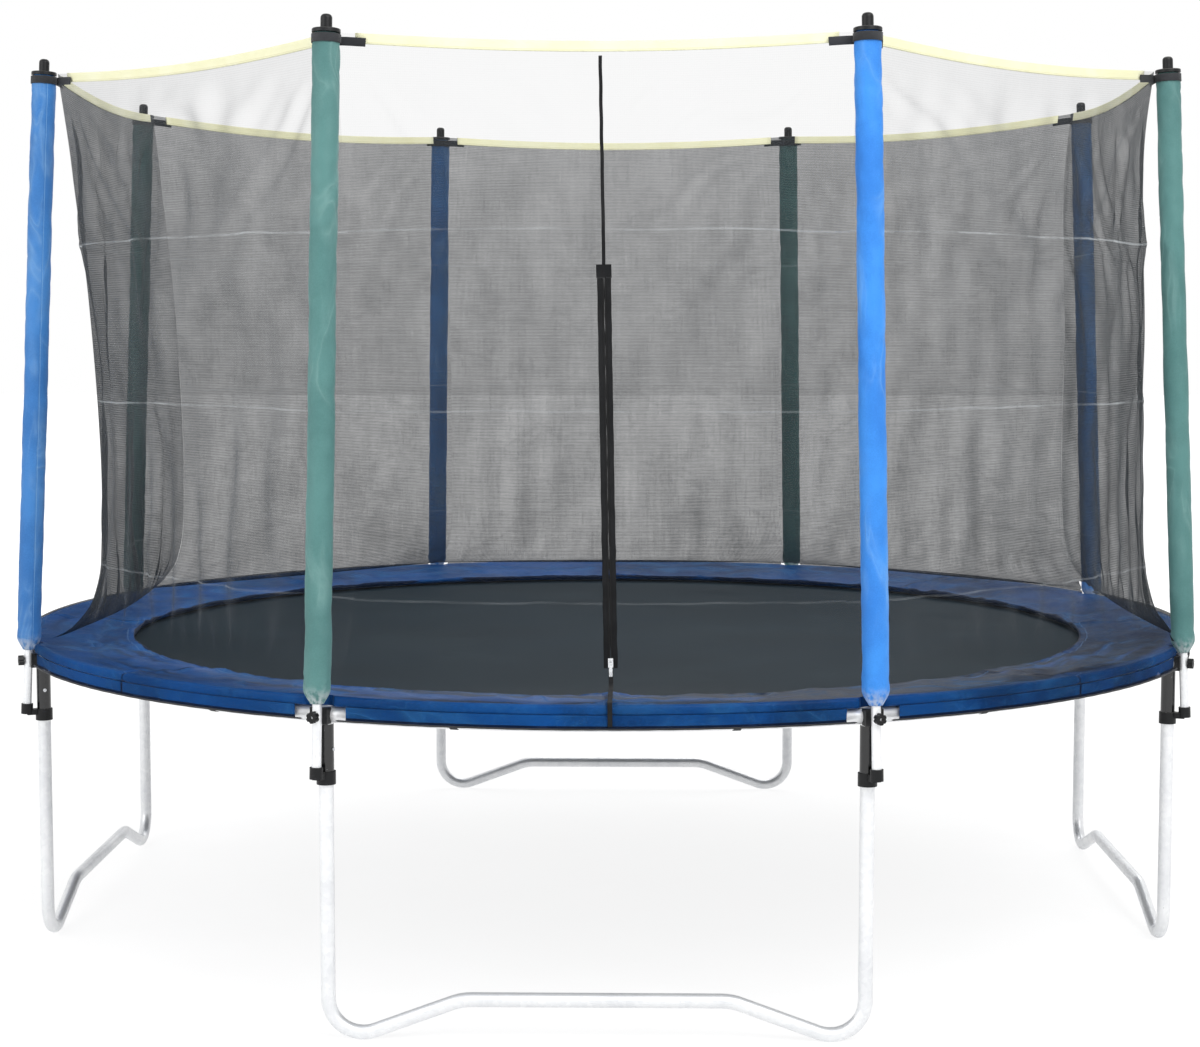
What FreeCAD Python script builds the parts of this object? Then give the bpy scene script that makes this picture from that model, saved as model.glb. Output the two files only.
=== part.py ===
"""Trampoline with a safety enclosure, as a parametric document.

Units are millimetres. +Z is up, the ground is Z = 0 and the origin is the centre of the frame's
circle on the ground. The zip door faces -Y. A station is one of the eight places on the rail where
a leg and a pole stand. A station part is drawn at the front, where outwards is -Y, and is then
turned about Z to its own angle, counted from -Y towards +X.
"""
import FreeCAD, Part
import Sketcher
import math
import os
from FreeCAD import Placement, Rotation, Vector

STATIONS = 8
STATION_PITCH = 360.0 / STATIONS
SPRINGS = 72
SPRING_PITCH = 360.0 / SPRINGS
PAD_TIES = 16
LEG_SIDES = ("front", "right", "back", "left")
LEG_PITCH = 360.0 / len(LEG_SIDES)
STATION_ANGLES = [(number - 1.5) * STATION_PITCH for number in range(1, STATIONS + 1)]
PANEL_ANGLES = [number * STATION_PITCH for number in range(STATIONS)]

SIZES = {
    # Frame tubes
    "frame_radius": 1809,
    "rail_height": 850,
    "rail_tube": 42,
    "leg_tube": 38,
    "pole_tube": 25,
    "tube_wall": 1.5,
    "slip_gap": 0.3,
    "rail_joint_angle": 4,
    "rail_tail": 60,
    "tail_neck": 6,
    "socket_length": 147,
    "socket_roof": 3,
    # Leg frames
    "leg_joint": 260,
    "leg_tail": 60,
    "foot_bend": 90,
    "shoulder_bend": 150,
    "slope_angle": 20,
    "arch_rise": 87,
    # Enclosure poles
    "pole_foot_drop": 156,
    "pole_lean": 2.61,
    "pole_spacer": 9.5,
    "pole_joint": 945,
    "pole_tail": 70,
    "pole_length": 1880,
    "sleeve_start": 199,
    "sleeve_width": 70,
    "cap_over": 1.5,
    "cap_flange": 10,
    "cap_plug": 36,
    "knob_width": 30,
    "knob_rise": 37,
    # Pole foot brackets, saddles, bolts and screws
    "collar_wall": 5.7,
    "collar_rise": 34,
    "cup_wall": 4.5,
    "cup_depth": 26,
    "saddle_width": 50,
    "saddle_depth": 22,
    "saddle_rise": 42,
    "bolt_width": 8,
    "bolt_head": 18,
    "bolt_head_rise": 4.5,
    "hand_nut_width": 30,
    "hand_nut_rise": 16,
    "screw_width": 5,
    "screw_drop": 90,
    "screw_head": 10,
    "screw_head_rise": 3,
    # Mat, rings and springs
    "mat_inset": 219,
    "mat_thick": 2,
    "webbing_width": 40,
    "webbing_thick": 0.8,
    "loop_width": 26,
    "loop_thick": 1,
    "loop_reach": 34,
    "ring_wire": 4,
    "ring_width": 44,
    "ring_depth": 26,
    "ring_corner": 4,
    "spring_wire": 3.2,
    "spring_coil": 25,
    "spring_end_gap": 13,
    "hook_reach": 20,
    "hook_depth": 4,
    "hook_drop": 7,
    "spring_hole": 6,
    # Spring cover
    "pad_inset": 299,
    "pad_edge": 31,
    "pad_underside": 7,
    "pad_inner_thick": 27,
    "pad_outer_thick": 30,
    "pad_corner": 8,
    "pad_skin": 1.2,
    "skirt_drop": 12,
    "skirt_thick": 2,
    "skirt_notch": 150,
    "notch_room": 7,
    "tie_width": 20,
    "tie_thick": 1.2,
    # Net
    "net_thick": 1.2,
    "net_gap": 0.9,
    "net_rest": 2.4,
    "net_lift": 6,
    "net_sag": 25,
    "net_stand_off": 4.5,
    "net_waist_inset": 149,
    "net_belly": 3.2447,
    "net_hem_drop": 7,
    "band_rise": 25,
    "band_thick": 1.2,
    "band_set_back": 50,
    "strap_rise": 22,
    "strap_drop": 4,
    "strap_thick": 2.4,
    "strap_tail": 80,
    "hem_cord": 5,
    # Zip
    "zip_rise": 57.8,
    "zip_foot_x": 36,
    "zip_lean": 1,
    "zip_length": 1000,
    "zip_slot": 20,
    "zip_slit": 0.8,
    "tape_width": 15,
    "tape_thick": 1.2,
    "teeth_width": 3.2,
    "teeth_thick": 3,
    "teeth_gap": 2.6,
    "stop_rise": 8,
    "seam_width": 9,
    "seam_thick": 1,
    "slider_width": 13,
    "slider_rise": 24,
    "slider_plate": 1.6,
    "slider_neck": 2,
    "slider_rest": 2,
    "bail_offset": 3.2,
    "bail_pin": 2.4,
    "pull_width": 9,
    "pull_length": 40,
    "pull_thick": 2,
}

doc = FreeCAD.newDocument("Trampoline")


class Size:
    """A number together with the sheet expression that gives it."""

    def __init__(self, number, text):
        self.number = float(number)
        self.text = text

    def __add__(self, other):
        other = as_size(other)
        return Size(self.number + other.number, f"({self.text} + {other.text})")

    def __radd__(self, other):
        return as_size(other) + self

    def __sub__(self, other):
        other = as_size(other)
        return Size(self.number - other.number, f"({self.text} - {other.text})")

    def __rsub__(self, other):
        return as_size(other) - self

    def __mul__(self, other):
        other = as_size(other)
        return Size(self.number * other.number, f"({self.text} * {other.text})")

    def __rmul__(self, other):
        return as_size(other) * self

    def __truediv__(self, other):
        other = as_size(other)
        return Size(self.number / other.number, f"({self.text} / {other.text})")

    def __neg__(self):
        return self * -1


def as_size(value):
    """Give a plain number the form of a Size."""
    if isinstance(value, Size):
        return value
    return Size(value, repr(float(value)))


def sine(angle):
    return Size(math.sin(math.radians(angle.number)), f"sin({angle.text})")


def cosine(angle):
    return Size(math.cos(math.radians(angle.number)), f"cos({angle.text})")


def tangent(angle):
    return Size(math.tan(math.radians(angle.number)), f"tan({angle.text})")


def arctangent(ratio):
    return Size(math.degrees(math.atan(ratio.number)), f"atan({ratio.text})")


def fill_sheet():
    """Write the driving dimensions into the sheet and return them as Sizes."""
    sheet = doc.addObject("Spreadsheet::Sheet", "Sizes")
    for row, (name, number) in enumerate(SIZES.items(), start=1):
        sheet.set(f"A{row}", name)
        sheet.set(f"B{row}", str(number))
        sheet.setAlias(f"B{row}", name)
    doc.recompute()
    return {name: Size(sheet.get(name), f"Sizes.{name}") for name in SIZES}


size = fill_sheet()
parts = {}
bound = []

rail_outer = size["rail_tube"] / 2
rail_inner = rail_outer - size["tube_wall"]
rail_tail_outer = rail_inner - size["slip_gap"]
leg_outer = size["leg_tube"] / 2
leg_inner = leg_outer - size["tube_wall"]
leg_tail_outer = leg_inner - size["slip_gap"]
pole_outer = size["pole_tube"] / 2
pole_inner = pole_outer - size["tube_wall"]
pole_tail_outer = pole_inner - size["slip_gap"]
socket_inner = leg_outer + size["slip_gap"]
socket_outer = socket_inner + size["tube_wall"]
rail_top = size["rail_height"] + rail_outer
rail_bottom = size["rail_height"] - rail_outer
socket_foot = size["rail_height"] - size["socket_length"]
screw_height = size["rail_height"] - size["screw_drop"]
upright_top = rail_bottom - size["socket_roof"] - size["slip_gap"]
half_pitch = Size(STATION_PITCH / 2, str(STATION_PITCH / 2))
pole_radius = size["frame_radius"] + rail_outer + size["pole_spacer"] + pole_outer
pole_foot = size["rail_height"] - size["pole_foot_drop"]
pole_foot_radius = pole_radius + size["pole_foot_drop"] * tangent(size["pole_lean"])
pole_notch = size["sleeve_width"] / 2 + size["notch_room"]
leg_plane = size["frame_radius"] * cosine(half_pitch)
leg_half = size["frame_radius"] * sine(half_pitch)
mat_radius = size["frame_radius"] - size["mat_inset"]
ring_line = mat_radius + size["slip_gap"] * 2 + size["webbing_thick"] + size["ring_wire"] / 2
ring_half_tip = arctangent(size["ring_width"] / 2 / size["ring_depth"])
ring_tip = ring_line + size["ring_depth"] - size["ring_corner"] / sine(ring_half_tip) + size["ring_corner"]
coil_start = ring_tip + size["hook_reach"]
coil_end = size["frame_radius"] - rail_outer - size["spring_end_gap"]
net_top = pole_foot + size["pole_length"] * cosine(size["pole_lean"]) + size["net_lift"]
net_corner = (pole_radius - (net_top - size["rail_height"]) * tangent(size["pole_lean"])
              - size["sleeve_width"] / 2 - size["net_stand_off"])
net_waist = size["frame_radius"] - size["net_waist_inset"]
net_middle = net_corner * cosine(half_pitch) + size["net_belly"]
net_edge = size["frame_radius"] + size["pad_edge"] + size["net_gap"]
net_hem = size["rail_height"] - size["net_hem_drop"]
pad_top = rail_top + size["tie_thick"] + size["pad_outer_thick"]
zip_foot = pad_top + size["zip_rise"]


def bind(item, **sizes):
    """Bind properties of an object to the sheet."""
    for name, value in sizes.items():
        value = as_size(value)
        item.setExpression(name, value.text)
        bound.append((item, name, value.number))


def place(item, base=(0, 0, 0), axis=(0, 0, 1), angle=0):
    """Put an object at a base point whose coordinates are bound to the sheet."""
    turn = as_size(angle)
    item.Placement = Placement(Vector(0, 0, 0), Rotation(Vector(*axis), turn.number))
    for letter, value in zip("xyz", base):
        value = as_size(value)
        if value.number:
            item.setExpression(f"Placement.Base.{letter}", value.text)
    if isinstance(angle, Size):
        item.setExpression("Placement.Rotation.Angle", turn.text)


def cylinder(name, radius, height, base=(0, 0, 0), axis=(0, 0, 1), angle=0):
    item = doc.addObject("Part::Cylinder", name)
    bind(item, Radius=radius, Height=height)
    place(item, base, axis, angle)
    return item


def box(name, length, width, height, base=(0, 0, 0), axis=(0, 0, 1), angle=0):
    """A box centred on its base point in X and Y, standing on it in Z."""
    item = doc.addObject("Part::Box", name)
    bind(item, Length=length, Width=width, Height=height)
    turn = Rotation(Vector(*axis), as_size(angle).number)
    item.Placement = Placement(Vector(0, 0, 0), turn)
    half = (as_size(length) / 2, as_size(width) / 2)
    for index, letter in enumerate("xyz"):
        column = [turn.multVec(unit)[index] for unit in (Vector(1, 0, 0), Vector(0, 1, 0))]
        value = as_size(base[index]) - half[0] * column[0] - half[1] * column[1]
        item.setExpression(f"Placement.Base.{letter}", value.text)
    return item


def ring_arc(name, radius, tube, start, sweep, height):
    """A solid round bar bent along a level circle about Z, from a start angle over a sweep."""
    item = doc.addObject("Part::Torus", name)
    bind(item, Radius1=radius, Radius2=tube, Angle3=sweep)
    place(item, (0, 0, height), (0, 0, 1), start)
    return item


def fuse(name, items):
    item = doc.addObject("Part::MultiFuse", name)
    item.Shapes = items
    return item


def cut(name, base, tools):
    """Take one or more tools away from a base."""
    item = doc.addObject("Part::Cut", name)
    item.Base = base
    item.Tool = tools[0] if len(tools) == 1 else fuse(name + "_tools", tools)
    return item


def group(name, items, angle=0):
    """Hold solids together, unfused, turned about Z by an angle."""
    item = doc.addObject("Part::Compound", name)
    item.Links = items
    place(item, angle=angle)
    return item


def turned(name, source, angles):
    """Copies of one source turned about Z, one to each angle."""
    copies = [group(f"{name}_{index}", [source], angle) for index, angle in enumerate(angles, start=1)]
    return group(name, copies)


def shape_of(name, shape):
    """An object that holds a shape worked out from the sheet's sizes."""
    item = doc.addObject("Part::Feature", name)
    item.Shape = shape
    return item


def publish(label, item):
    """Name a finished sub-part."""
    item.Label = label
    parts[label] = item


def origin_feature(body, role):
    return next(item for item in body.Origin.OriginFeatures if item.Role == role)


def new_body(name):
    return doc.addObject("PartDesign::Body", name)


def new_sketch(body, name, plane="XY_Plane", lift=0):
    """A sketch on one of its body's origin planes, lifted off it along its normal."""
    sketch = body.newObject("Sketcher::SketchObject", name)
    sketch.AttachmentSupport = [(origin_feature(body, plane), "")]
    sketch.MapMode = "FlatFace"
    lift = as_size(lift)
    if lift.number:
        sketch.setExpression("AttachmentOffset.Base.z", lift.text)
    return sketch


def fix_point(sketch, edge, end, point):
    """Hold one end of an edge at a point bound to the sheet."""
    for kind, value in zip(("DistanceX", "DistanceY"), point):
        value = as_size(value)
        if value.number == 0:
            axis = -2 if kind == "DistanceX" else -1
            sketch.addConstraint(Sketcher.Constraint("PointOnObject", edge, end, axis))
        else:
            index = sketch.addConstraint(Sketcher.Constraint(kind, -1, 1, edge, end, value.number))
            sketch.setExpression(f"Constraints[{index}]", value.text)


def draw_circle(sketch, radius, centre=(0, 0)):
    """A circle whose radius and centre are bound to the sheet."""
    middle = Vector(as_size(centre[0]).number, as_size(centre[1]).number, 0)
    edge = sketch.addGeometry(Part.Circle(middle, Vector(0, 0, 1), as_size(radius).number), False)
    index = sketch.addConstraint(Sketcher.Constraint("Radius", edge, as_size(radius).number))
    sketch.setExpression(f"Constraints[{index}]", as_size(radius).text)
    if any(as_size(value).number for value in centre):
        fix_point(sketch, edge, 3, centre)
    else:
        sketch.addConstraint(Sketcher.Constraint("Coincident", edge, 3, -1, 1))


def draw_polygon(sketch, points):
    """A closed outline with every corner bound to the sheet."""
    numbers = [Vector(as_size(x).number, as_size(y).number, 0) for x, y in points]
    first = sketch.GeometryCount
    for start, end in zip(numbers, numbers[1:] + numbers[:1]):
        sketch.addGeometry(Part.LineSegment(start, end), False)
    for index, point in enumerate(points):
        before = first + (index - 1) % len(points)
        sketch.addConstraint(Sketcher.Constraint("Coincident", before, 2, first + index, 1))
        fix_point(sketch, first + index, 1, point)


def pad(body, sketch, length, name):
    """Raise a sketch into a solid along its normal."""
    item = body.newObject("PartDesign::Pad", name)
    item.Profile = sketch
    item.setExpression("Length", as_size(length).text)
    return item


def tube(name, outer, inner, length):
    """A straight tube along Z."""
    body = new_body(name)
    sketch = new_sketch(body, name + "_section")
    draw_circle(sketch, outer)
    draw_circle(sketch, inner)
    pad(body, sketch, length, name + "_wall")
    return body


def along_pole(item, distance=0):
    """Stand an item on the pole's axis, a distance up from the pole's foot."""
    base_y = distance * sine(size["pole_lean"]) - pole_foot_radius
    base_z = pole_foot + distance * cosine(size["pole_lean"])
    place(item, (0, base_y, base_z), (1, 0, 0), -size["pole_lean"])
    return item


def degrees(length):
    """The angle that a length takes along the rail."""
    return length / size["frame_radius"] * 180 / math.pi


def make_top_rails():
    """Eight arcs of rail, each with a socket for a leg, spring holes and a tail for the next arc."""
    joint = size["rail_joint_angle"]
    start = joint - STATION_PITCH - 90
    neck = degrees(size["tail_neck"])
    radius, height = size["frame_radius"], size["rail_height"]
    bar = ring_arc("rail_bar", radius, rail_outer, start, Size(STATION_PITCH, str(STATION_PITCH)), height)
    tail_sweep = degrees(size["rail_tail"]) + neck
    tail = ring_arc("rail_tail_bar", radius, rail_tail_outer, joint - 90 - neck, tail_sweep, height)
    socket_length = size["rail_height"] - socket_foot
    socket = cylinder("socket_bar", socket_outer, socket_length, (0, -radius, socket_foot))
    blank = fuse("rail_blank", [bar, tail, socket])
    margin = 0.1
    bore_sweep = margin + STATION_PITCH - neck / 2
    bore = ring_arc("rail_bore", radius, rail_inner, start - margin, bore_sweep, height)
    tail_bore = ring_arc("rail_tail_bore", radius, rail_tail_outer - size["tube_wall"],
                         joint - 90 - neck, tail_sweep + margin, height)
    leg_room = upright_top + size["slip_gap"] - socket_foot
    socket_bore = cylinder("socket_bore", socket_inner, leg_room + 1, (0, -radius, socket_foot - 1))
    bolt_hole = cylinder("rail_bolt_hole", size["bolt_width"] / 2 + size["slip_gap"], rail_outer * 2 + 2,
                         (0, 1 + rail_outer - radius, height), (1, 0, 0), 90)
    screw_hole = cylinder("socket_screw_hole", size["screw_width"] / 2 + size["slip_gap"], socket_outer + 1,
                          (0, -radius, screw_height), (0, 1, 0), 90)
    tools = [bore, tail_bore, socket_bore, bolt_hole, screw_hole]
    tools += [spring_hole(index) for index in range(SPRINGS // STATIONS)]
    rail = cut("rail_arc", blank, tools)
    for number, angle in enumerate(STATION_ANGLES, start=1):
        publish(f"top_rail_{number}", group(f"top_rail_{number}", [rail], angle))


def spring_hole(index):
    """One hole through the rail's inner wall, for a spring's hook."""
    angle = (index + 0.5) * SPRING_PITCH - (STATION_PITCH - SPRING_PITCH)
    turn = math.radians(angle)
    reach = size["frame_radius"] - rail_outer / 2
    base = (reach * math.sin(turn), reach * -math.cos(turn), size["rail_height"])
    hole = doc.addObject("Part::Cylinder", f"spring_hole_{index + 1}")
    bind(hole, Radius=size["spring_hole"] / 2, Height=rail_outer)
    place(hole, base)
    hole.Placement.Rotation = Rotation(Vector(0, 0, 1), angle) * Rotation(Vector(1, 0, 0), -90)
    return hole


def make_leg_bases():
    """Four tubes bent to a W: up at both ends, on the ground at two bends, raised in the middle."""
    bend, shoulder, slope = size["foot_bend"], size["shoulder_bend"], size["slope_angle"]
    foot_x = leg_half - bend
    foot_centre = (foot_x, leg_outer + bend)
    foot_end = (foot_x - bend * sine(slope), foot_centre[1] - bend * cosine(slope))
    arch = leg_outer + size["arch_rise"]
    shoulder_low = arch - shoulder * (1 - cosine(slope))
    run = (shoulder_low - foot_end[1]) / tangent(slope)
    shoulder_start = (foot_end[0] - run, shoulder_low)
    shoulder_end = (shoulder_start[0] - shoulder * sine(slope), arch)
    top = (leg_half, size["leg_joint"])
    foot_start = (leg_half, foot_centre[1])
    right = [top, foot_start, foot_end, shoulder_start, shoulder_end]
    left = [(-x, z) for x, z in reversed(right)]
    path = right + left
    radii = {1: bend, 3: shoulder, 5: shoulder, 7: bend}
    centres = {1: foot_centre, 3: (shoulder_end[0], arch - shoulder)}
    centres[5] = (-centres[3][0], centres[3][1])
    centres[7] = (-centres[1][0], centres[1][1])
    body = new_body("leg_base_tube")
    spine = new_sketch(body, "leg_base_path", "XZ_Plane")
    last = None
    for index, (start, end) in enumerate(zip(path, path[1:])):
        clockwise = False
        if index in radii:
            clockwise = add_arc(spine, start, end, centres[index], radii[index])
        else:
            ends = [Vector(x.number, z.number, 0) for x, z in (start, end)]
            spine.addGeometry(Part.LineSegment(*ends), False)
        near, far = (2, 1) if clockwise else (1, 2)
        if last is None:
            fix_point(spine, 0, near, path[0])
        else:
            spine.addConstraint(Sketcher.Constraint("Coincident", index - 1, last, index, near))
        fix_point(spine, index, far, end)
        last = far
    section = new_sketch(body, "leg_base_section", lift=size["leg_joint"])
    draw_circle(section, leg_outer, (leg_half, 0))
    sweep = body.newObject("PartDesign::AdditivePipe", "leg_base_bar")
    sweep.Profile = section
    sweep.Spine = spine
    bore = new_sketch(body, "leg_base_bore_section", lift=size["leg_joint"])
    draw_circle(bore, leg_inner, (leg_half, 0))
    doc.recompute()
    hollow = body.newObject("PartDesign::SubtractivePipe", "leg_base_bore")
    hollow.Profile = bore
    hollow.Spine = spine
    neck = size["tail_neck"]
    tails = []
    for side, sign in (("right", 1), ("left", -1)):
        height = size["leg_tail"] + neck
        base = (leg_half * sign, 0, size["leg_joint"] - neck)
        tails.append(cylinder(f"leg_tail_{side}", leg_tail_outer, height, base))
        shoulder_ring = (leg_half * sign, 0, size["leg_joint"] - neck / 2)
        tails.append(cylinder(f"leg_neck_{side}", leg_inner + size["tube_wall"] / 2, neck / 2, shoulder_ring))
    blank = fuse("leg_base_blank", [body] + tails)
    bores = []
    for side, sign in (("right", 1), ("left", -1)):
        base = (leg_half * sign, 0, size["leg_joint"] - neck - 1)
        bores.append(cylinder(f"leg_tail_bore_{side}", leg_tail_outer - size["tube_wall"],
                              size["leg_tail"] + neck + 2, base))
    base_tube = cut("leg_base_solid", blank, bores)
    placed = group("leg_base_in_plane", [base_tube])
    place(placed, (0, -leg_plane, 0))
    for number, side in enumerate(LEG_SIDES):
        name = f"leg_base_{side}"
        publish(name, group(name, [placed], number * LEG_PITCH))


def add_arc(sketch, start, end, centre, radius):
    """An arc between two points about a centre, the short way round. Tells whether it runs
    clockwise, for an arc's own ends are always counted the other way."""
    middle = Vector(centre[0].number, centre[1].number, 0)
    angles = [math.atan2(z.number - middle.y, x.number - middle.x) for x, z in (start, end)]
    circle = Part.Circle(middle, Vector(0, 0, 1), radius.number)
    clockwise = (angles[1] - angles[0]) % (2 * math.pi) > math.pi
    if clockwise:
        angles.reverse()
    edge = sketch.addGeometry(Part.ArcOfCircle(circle, *angles), False)
    index = sketch.addConstraint(Sketcher.Constraint("Radius", edge, radius.number))
    sketch.setExpression(f"Constraints[{index}]", radius.text)
    return clockwise


def make_leg_uprights():
    """Eight straight tubes from the leg bases up into the rail's sockets."""
    body = tube("upright_tube", leg_outer, leg_inner, upright_top - size["leg_joint"])
    place(body, (0, -size["frame_radius"], size["leg_joint"]))
    hole = cylinder("upright_screw_hole", size["screw_width"] / 2 + size["slip_gap"], leg_outer + 1,
                    (0, -size["frame_radius"], screw_height), (0, 1, 0), 90)
    upright = cut("upright_drilled", body, [hole])
    for number, angle in enumerate(STATION_ANGLES, start=1):
        publish(f"leg_upright_{number}", group(f"leg_upright_{number}", [upright], angle))


def make_socket_screws():
    """Screws that lock each upright in its socket from the side."""
    reach = socket_outer + size["screw_head_rise"] + size["slip_gap"] - leg_inner + 4
    height = screw_height
    shank = cylinder("screw_shank", size["screw_width"] / 2, reach,
                     (leg_inner - 4, -size["frame_radius"], height), (0, 1, 0), 90)
    head = cylinder("screw_head", size["screw_head"] / 2, size["screw_head_rise"],
                    (socket_outer + size["slip_gap"], -size["frame_radius"], height), (0, 1, 0), 90)
    screw = fuse("socket_screw", [shank, head])
    publish("socket_screws", turned("socket_screws", screw, STATION_ANGLES))


def bolt_clearance(name):
    """The room that the clamp bolt needs through rail, saddle and pole."""
    return cylinder(name, size["bolt_width"] / 2 + size["slip_gap"], rail_outer * 2 + pole_outer * 3,
                    (0, rail_outer + 1 - size["frame_radius"], size["rail_height"]), (1, 0, 0), 90)


def make_poles():
    """Lower and upper pole tubes, plugged together half way up."""
    lower = tube("pole_lower_tube", pole_outer, pole_inner, size["pole_joint"])
    along_pole(lower)
    lower_drilled = cut("pole_lower_drilled", lower, [bolt_clearance("pole_bolt_hole")])
    for number, angle in enumerate(STATION_ANGLES, start=1):
        publish(f"pole_lower_{number}", group(f"pole_lower_{number}", [lower_drilled], angle))
    upper_length = size["pole_length"] - size["pole_joint"]
    neck = size["tail_neck"]
    wall = cylinder("pole_upper_bar", pole_outer, upper_length)
    tail = cylinder("pole_tail_bar", pole_tail_outer, size["pole_tail"] + neck, (0, 0, -size["pole_tail"]))
    blank = fuse("pole_upper_blank", [wall, tail])
    bore = cylinder("pole_upper_bore", pole_inner, upper_length, (0, 0, neck / 2))
    tail_bore = cylinder("pole_tail_bore", pole_tail_outer - size["tube_wall"],
                         size["pole_tail"] + neck, (0, 0, -size["pole_tail"] - 1))
    upper = cut("pole_upper_tube", blank, [bore, tail_bore])
    along_pole(upper, size["pole_joint"])
    publish("pole_upper_tubes", turned("pole_upper_tubes", upper, STATION_ANGLES))


def make_sleeves():
    """Foam sleeves on the poles."""
    inner = pole_outer + size["slip_gap"]
    length = size["pole_length"] - size["sleeve_start"] - size["slip_gap"]
    sleeve = tube("sleeve_tube", size["sleeve_width"] / 2, inner, length)
    along_pole(sleeve, size["sleeve_start"])
    for number, angle in enumerate(STATION_ANGLES, start=1):
        publish(f"pole_sleeve_{number}", group(f"pole_sleeve_{number}", [sleeve], angle))


def make_pole_caps():
    """Caps that plug into the pole tops, with a flange over the foam and a round knob."""
    body = new_body("pole_cap")
    outline = new_sketch(body, "cap_outline", "XZ_Plane")
    spigot = pole_inner - size["slip_gap"]
    flange, top = size["sleeve_width"] / 2 + size["cap_over"], size["cap_flange"] + size["knob_rise"]
    plug = size["cap_plug"] * -1
    knob = size["knob_width"] / 2
    draw_polygon(outline, [(0, plug), (spigot, plug), (spigot, 0), (flange, 0), (flange, size["cap_flange"]),
                           (knob, size["cap_flange"]), (knob, top), (0, top)])
    turn = body.newObject("PartDesign::Revolution", "cap_turned")
    turn.Profile = outline
    turn.ReferenceAxis = (outline, ["V_Axis"])
    turn.Angle = 360
    doc.recompute()
    round_edges(body, turn, "cap_knob_round", top.number, size["knob_width"] / 3)
    round_edges(body, body.Tip, "cap_flange_round", size["cap_flange"].number, size["cap_flange"] / 3,
                flange.number)
    along_pole(body, size["pole_length"])
    publish("pole_caps", turned("pole_caps", body, STATION_ANGLES))


def round_edges(body, feature, name, height, radius, reach=None):
    """Round the circular edges of a body at a height, all of them or those of one radius."""
    names = []
    for index, edge in enumerate(feature.Shape.Edges, start=1):
        bounds = edge.BoundBox
        level = abs(bounds.ZMin - height) < 0.01 and abs(bounds.ZMax - height) < 0.01
        if level and (reach is None or abs(bounds.XMax - reach) < 0.01):
            names.append(f"Edge{index}")
    item = body.newObject("PartDesign::Fillet", name)
    item.Base = (feature, names)
    item.setExpression("Radius", radius.text)
    doc.recompute()


def make_foot_brackets():
    """Plastic collars under the sockets, each with a cup for the pole's foot."""
    radius, gap = size["frame_radius"], size["slip_gap"]
    top = socket_foot - gap
    collar = cylinder("collar_ring", leg_outer + gap + size["collar_wall"], size["collar_rise"],
                      (0, -radius, top - size["collar_rise"]))
    floor = size["cup_wall"]
    cup_bar = cylinder("cup_bar", pole_outer + gap + size["cup_wall"], size["cup_depth"] + floor)
    cup = along_pole(cup_bar, -floor)
    web_start, web_end = radius + leg_outer, pole_foot_radius
    web = box("bracket_web", leg_outer + size["collar_wall"], web_end - web_start, size["collar_rise"] / 2,
              (0, (web_start + web_end) / -2, top - size["collar_rise"] / 2))
    blank = fuse("bracket_blank", [collar, cup, web])
    leg_room = cylinder("bracket_leg_bore", leg_outer + gap, size["collar_rise"] * 2,
                        (0, -radius, top - size["collar_rise"] * 1.5))
    socket_room = cylinder("bracket_socket_room", socket_outer + gap, size["collar_rise"], (0, -radius, top))
    pole_room = along_pole(cylinder("bracket_pole_bore", pole_outer + gap, size["cup_depth"] * 2), 0 - gap)
    bracket = cut("foot_bracket", blank, [leg_room, socket_room, pole_room])
    publish("pole_foot_brackets", turned("pole_foot_brackets", bracket, STATION_ANGLES))


def make_saddles():
    """Saddle blocks between rail and pole, hollow to fit the round of both."""
    gap, radius = size["slip_gap"], size["frame_radius"]
    middle = radius + rail_outer + size["pole_spacer"] / 2
    block = box("saddle_block", size["saddle_width"], size["saddle_depth"], size["saddle_rise"],
                (0, -middle, size["rail_height"] - size["saddle_rise"] / 2))
    rail_room = ring_arc("saddle_rail_room", radius, rail_outer + gap, -93, as_size(6), size["rail_height"])
    pole_room = along_pole(cylinder("saddle_pole_room", pole_outer + gap, size["pole_joint"]))
    socket_room = cylinder("saddle_socket_room", socket_outer + gap, rail_top - socket_foot,
                           (0, -radius, socket_foot))
    tools = [rail_room, pole_room, socket_room, bolt_clearance("saddle_bolt_hole")]
    saddle = cut("rail_saddle", block, tools)
    publish("rail_saddles", turned("rail_saddles", saddle, STATION_ANGLES))


def make_pole_bolts():
    """Bolts from inside the rail out through the pole."""
    inner = size["frame_radius"] - rail_outer - size["slip_gap"]
    outer = pole_radius + pole_outer + size["slip_gap"] + size["hand_nut_rise"] * 0.7
    level = size["rail_height"]
    shank = cylinder("bolt_shank", size["bolt_width"] / 2, outer - inner, (0, -inner, level), (1, 0, 0), 90)
    head = cylinder("bolt_head", size["bolt_head"] / 2, size["bolt_head_rise"],
                    (0, size["bolt_head_rise"] - inner, level), (1, 0, 0), 90)
    bolt = fuse("pole_bolt", [shank, head])
    publish("pole_bolts", turned("pole_bolts", bolt, STATION_ANGLES))


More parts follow.
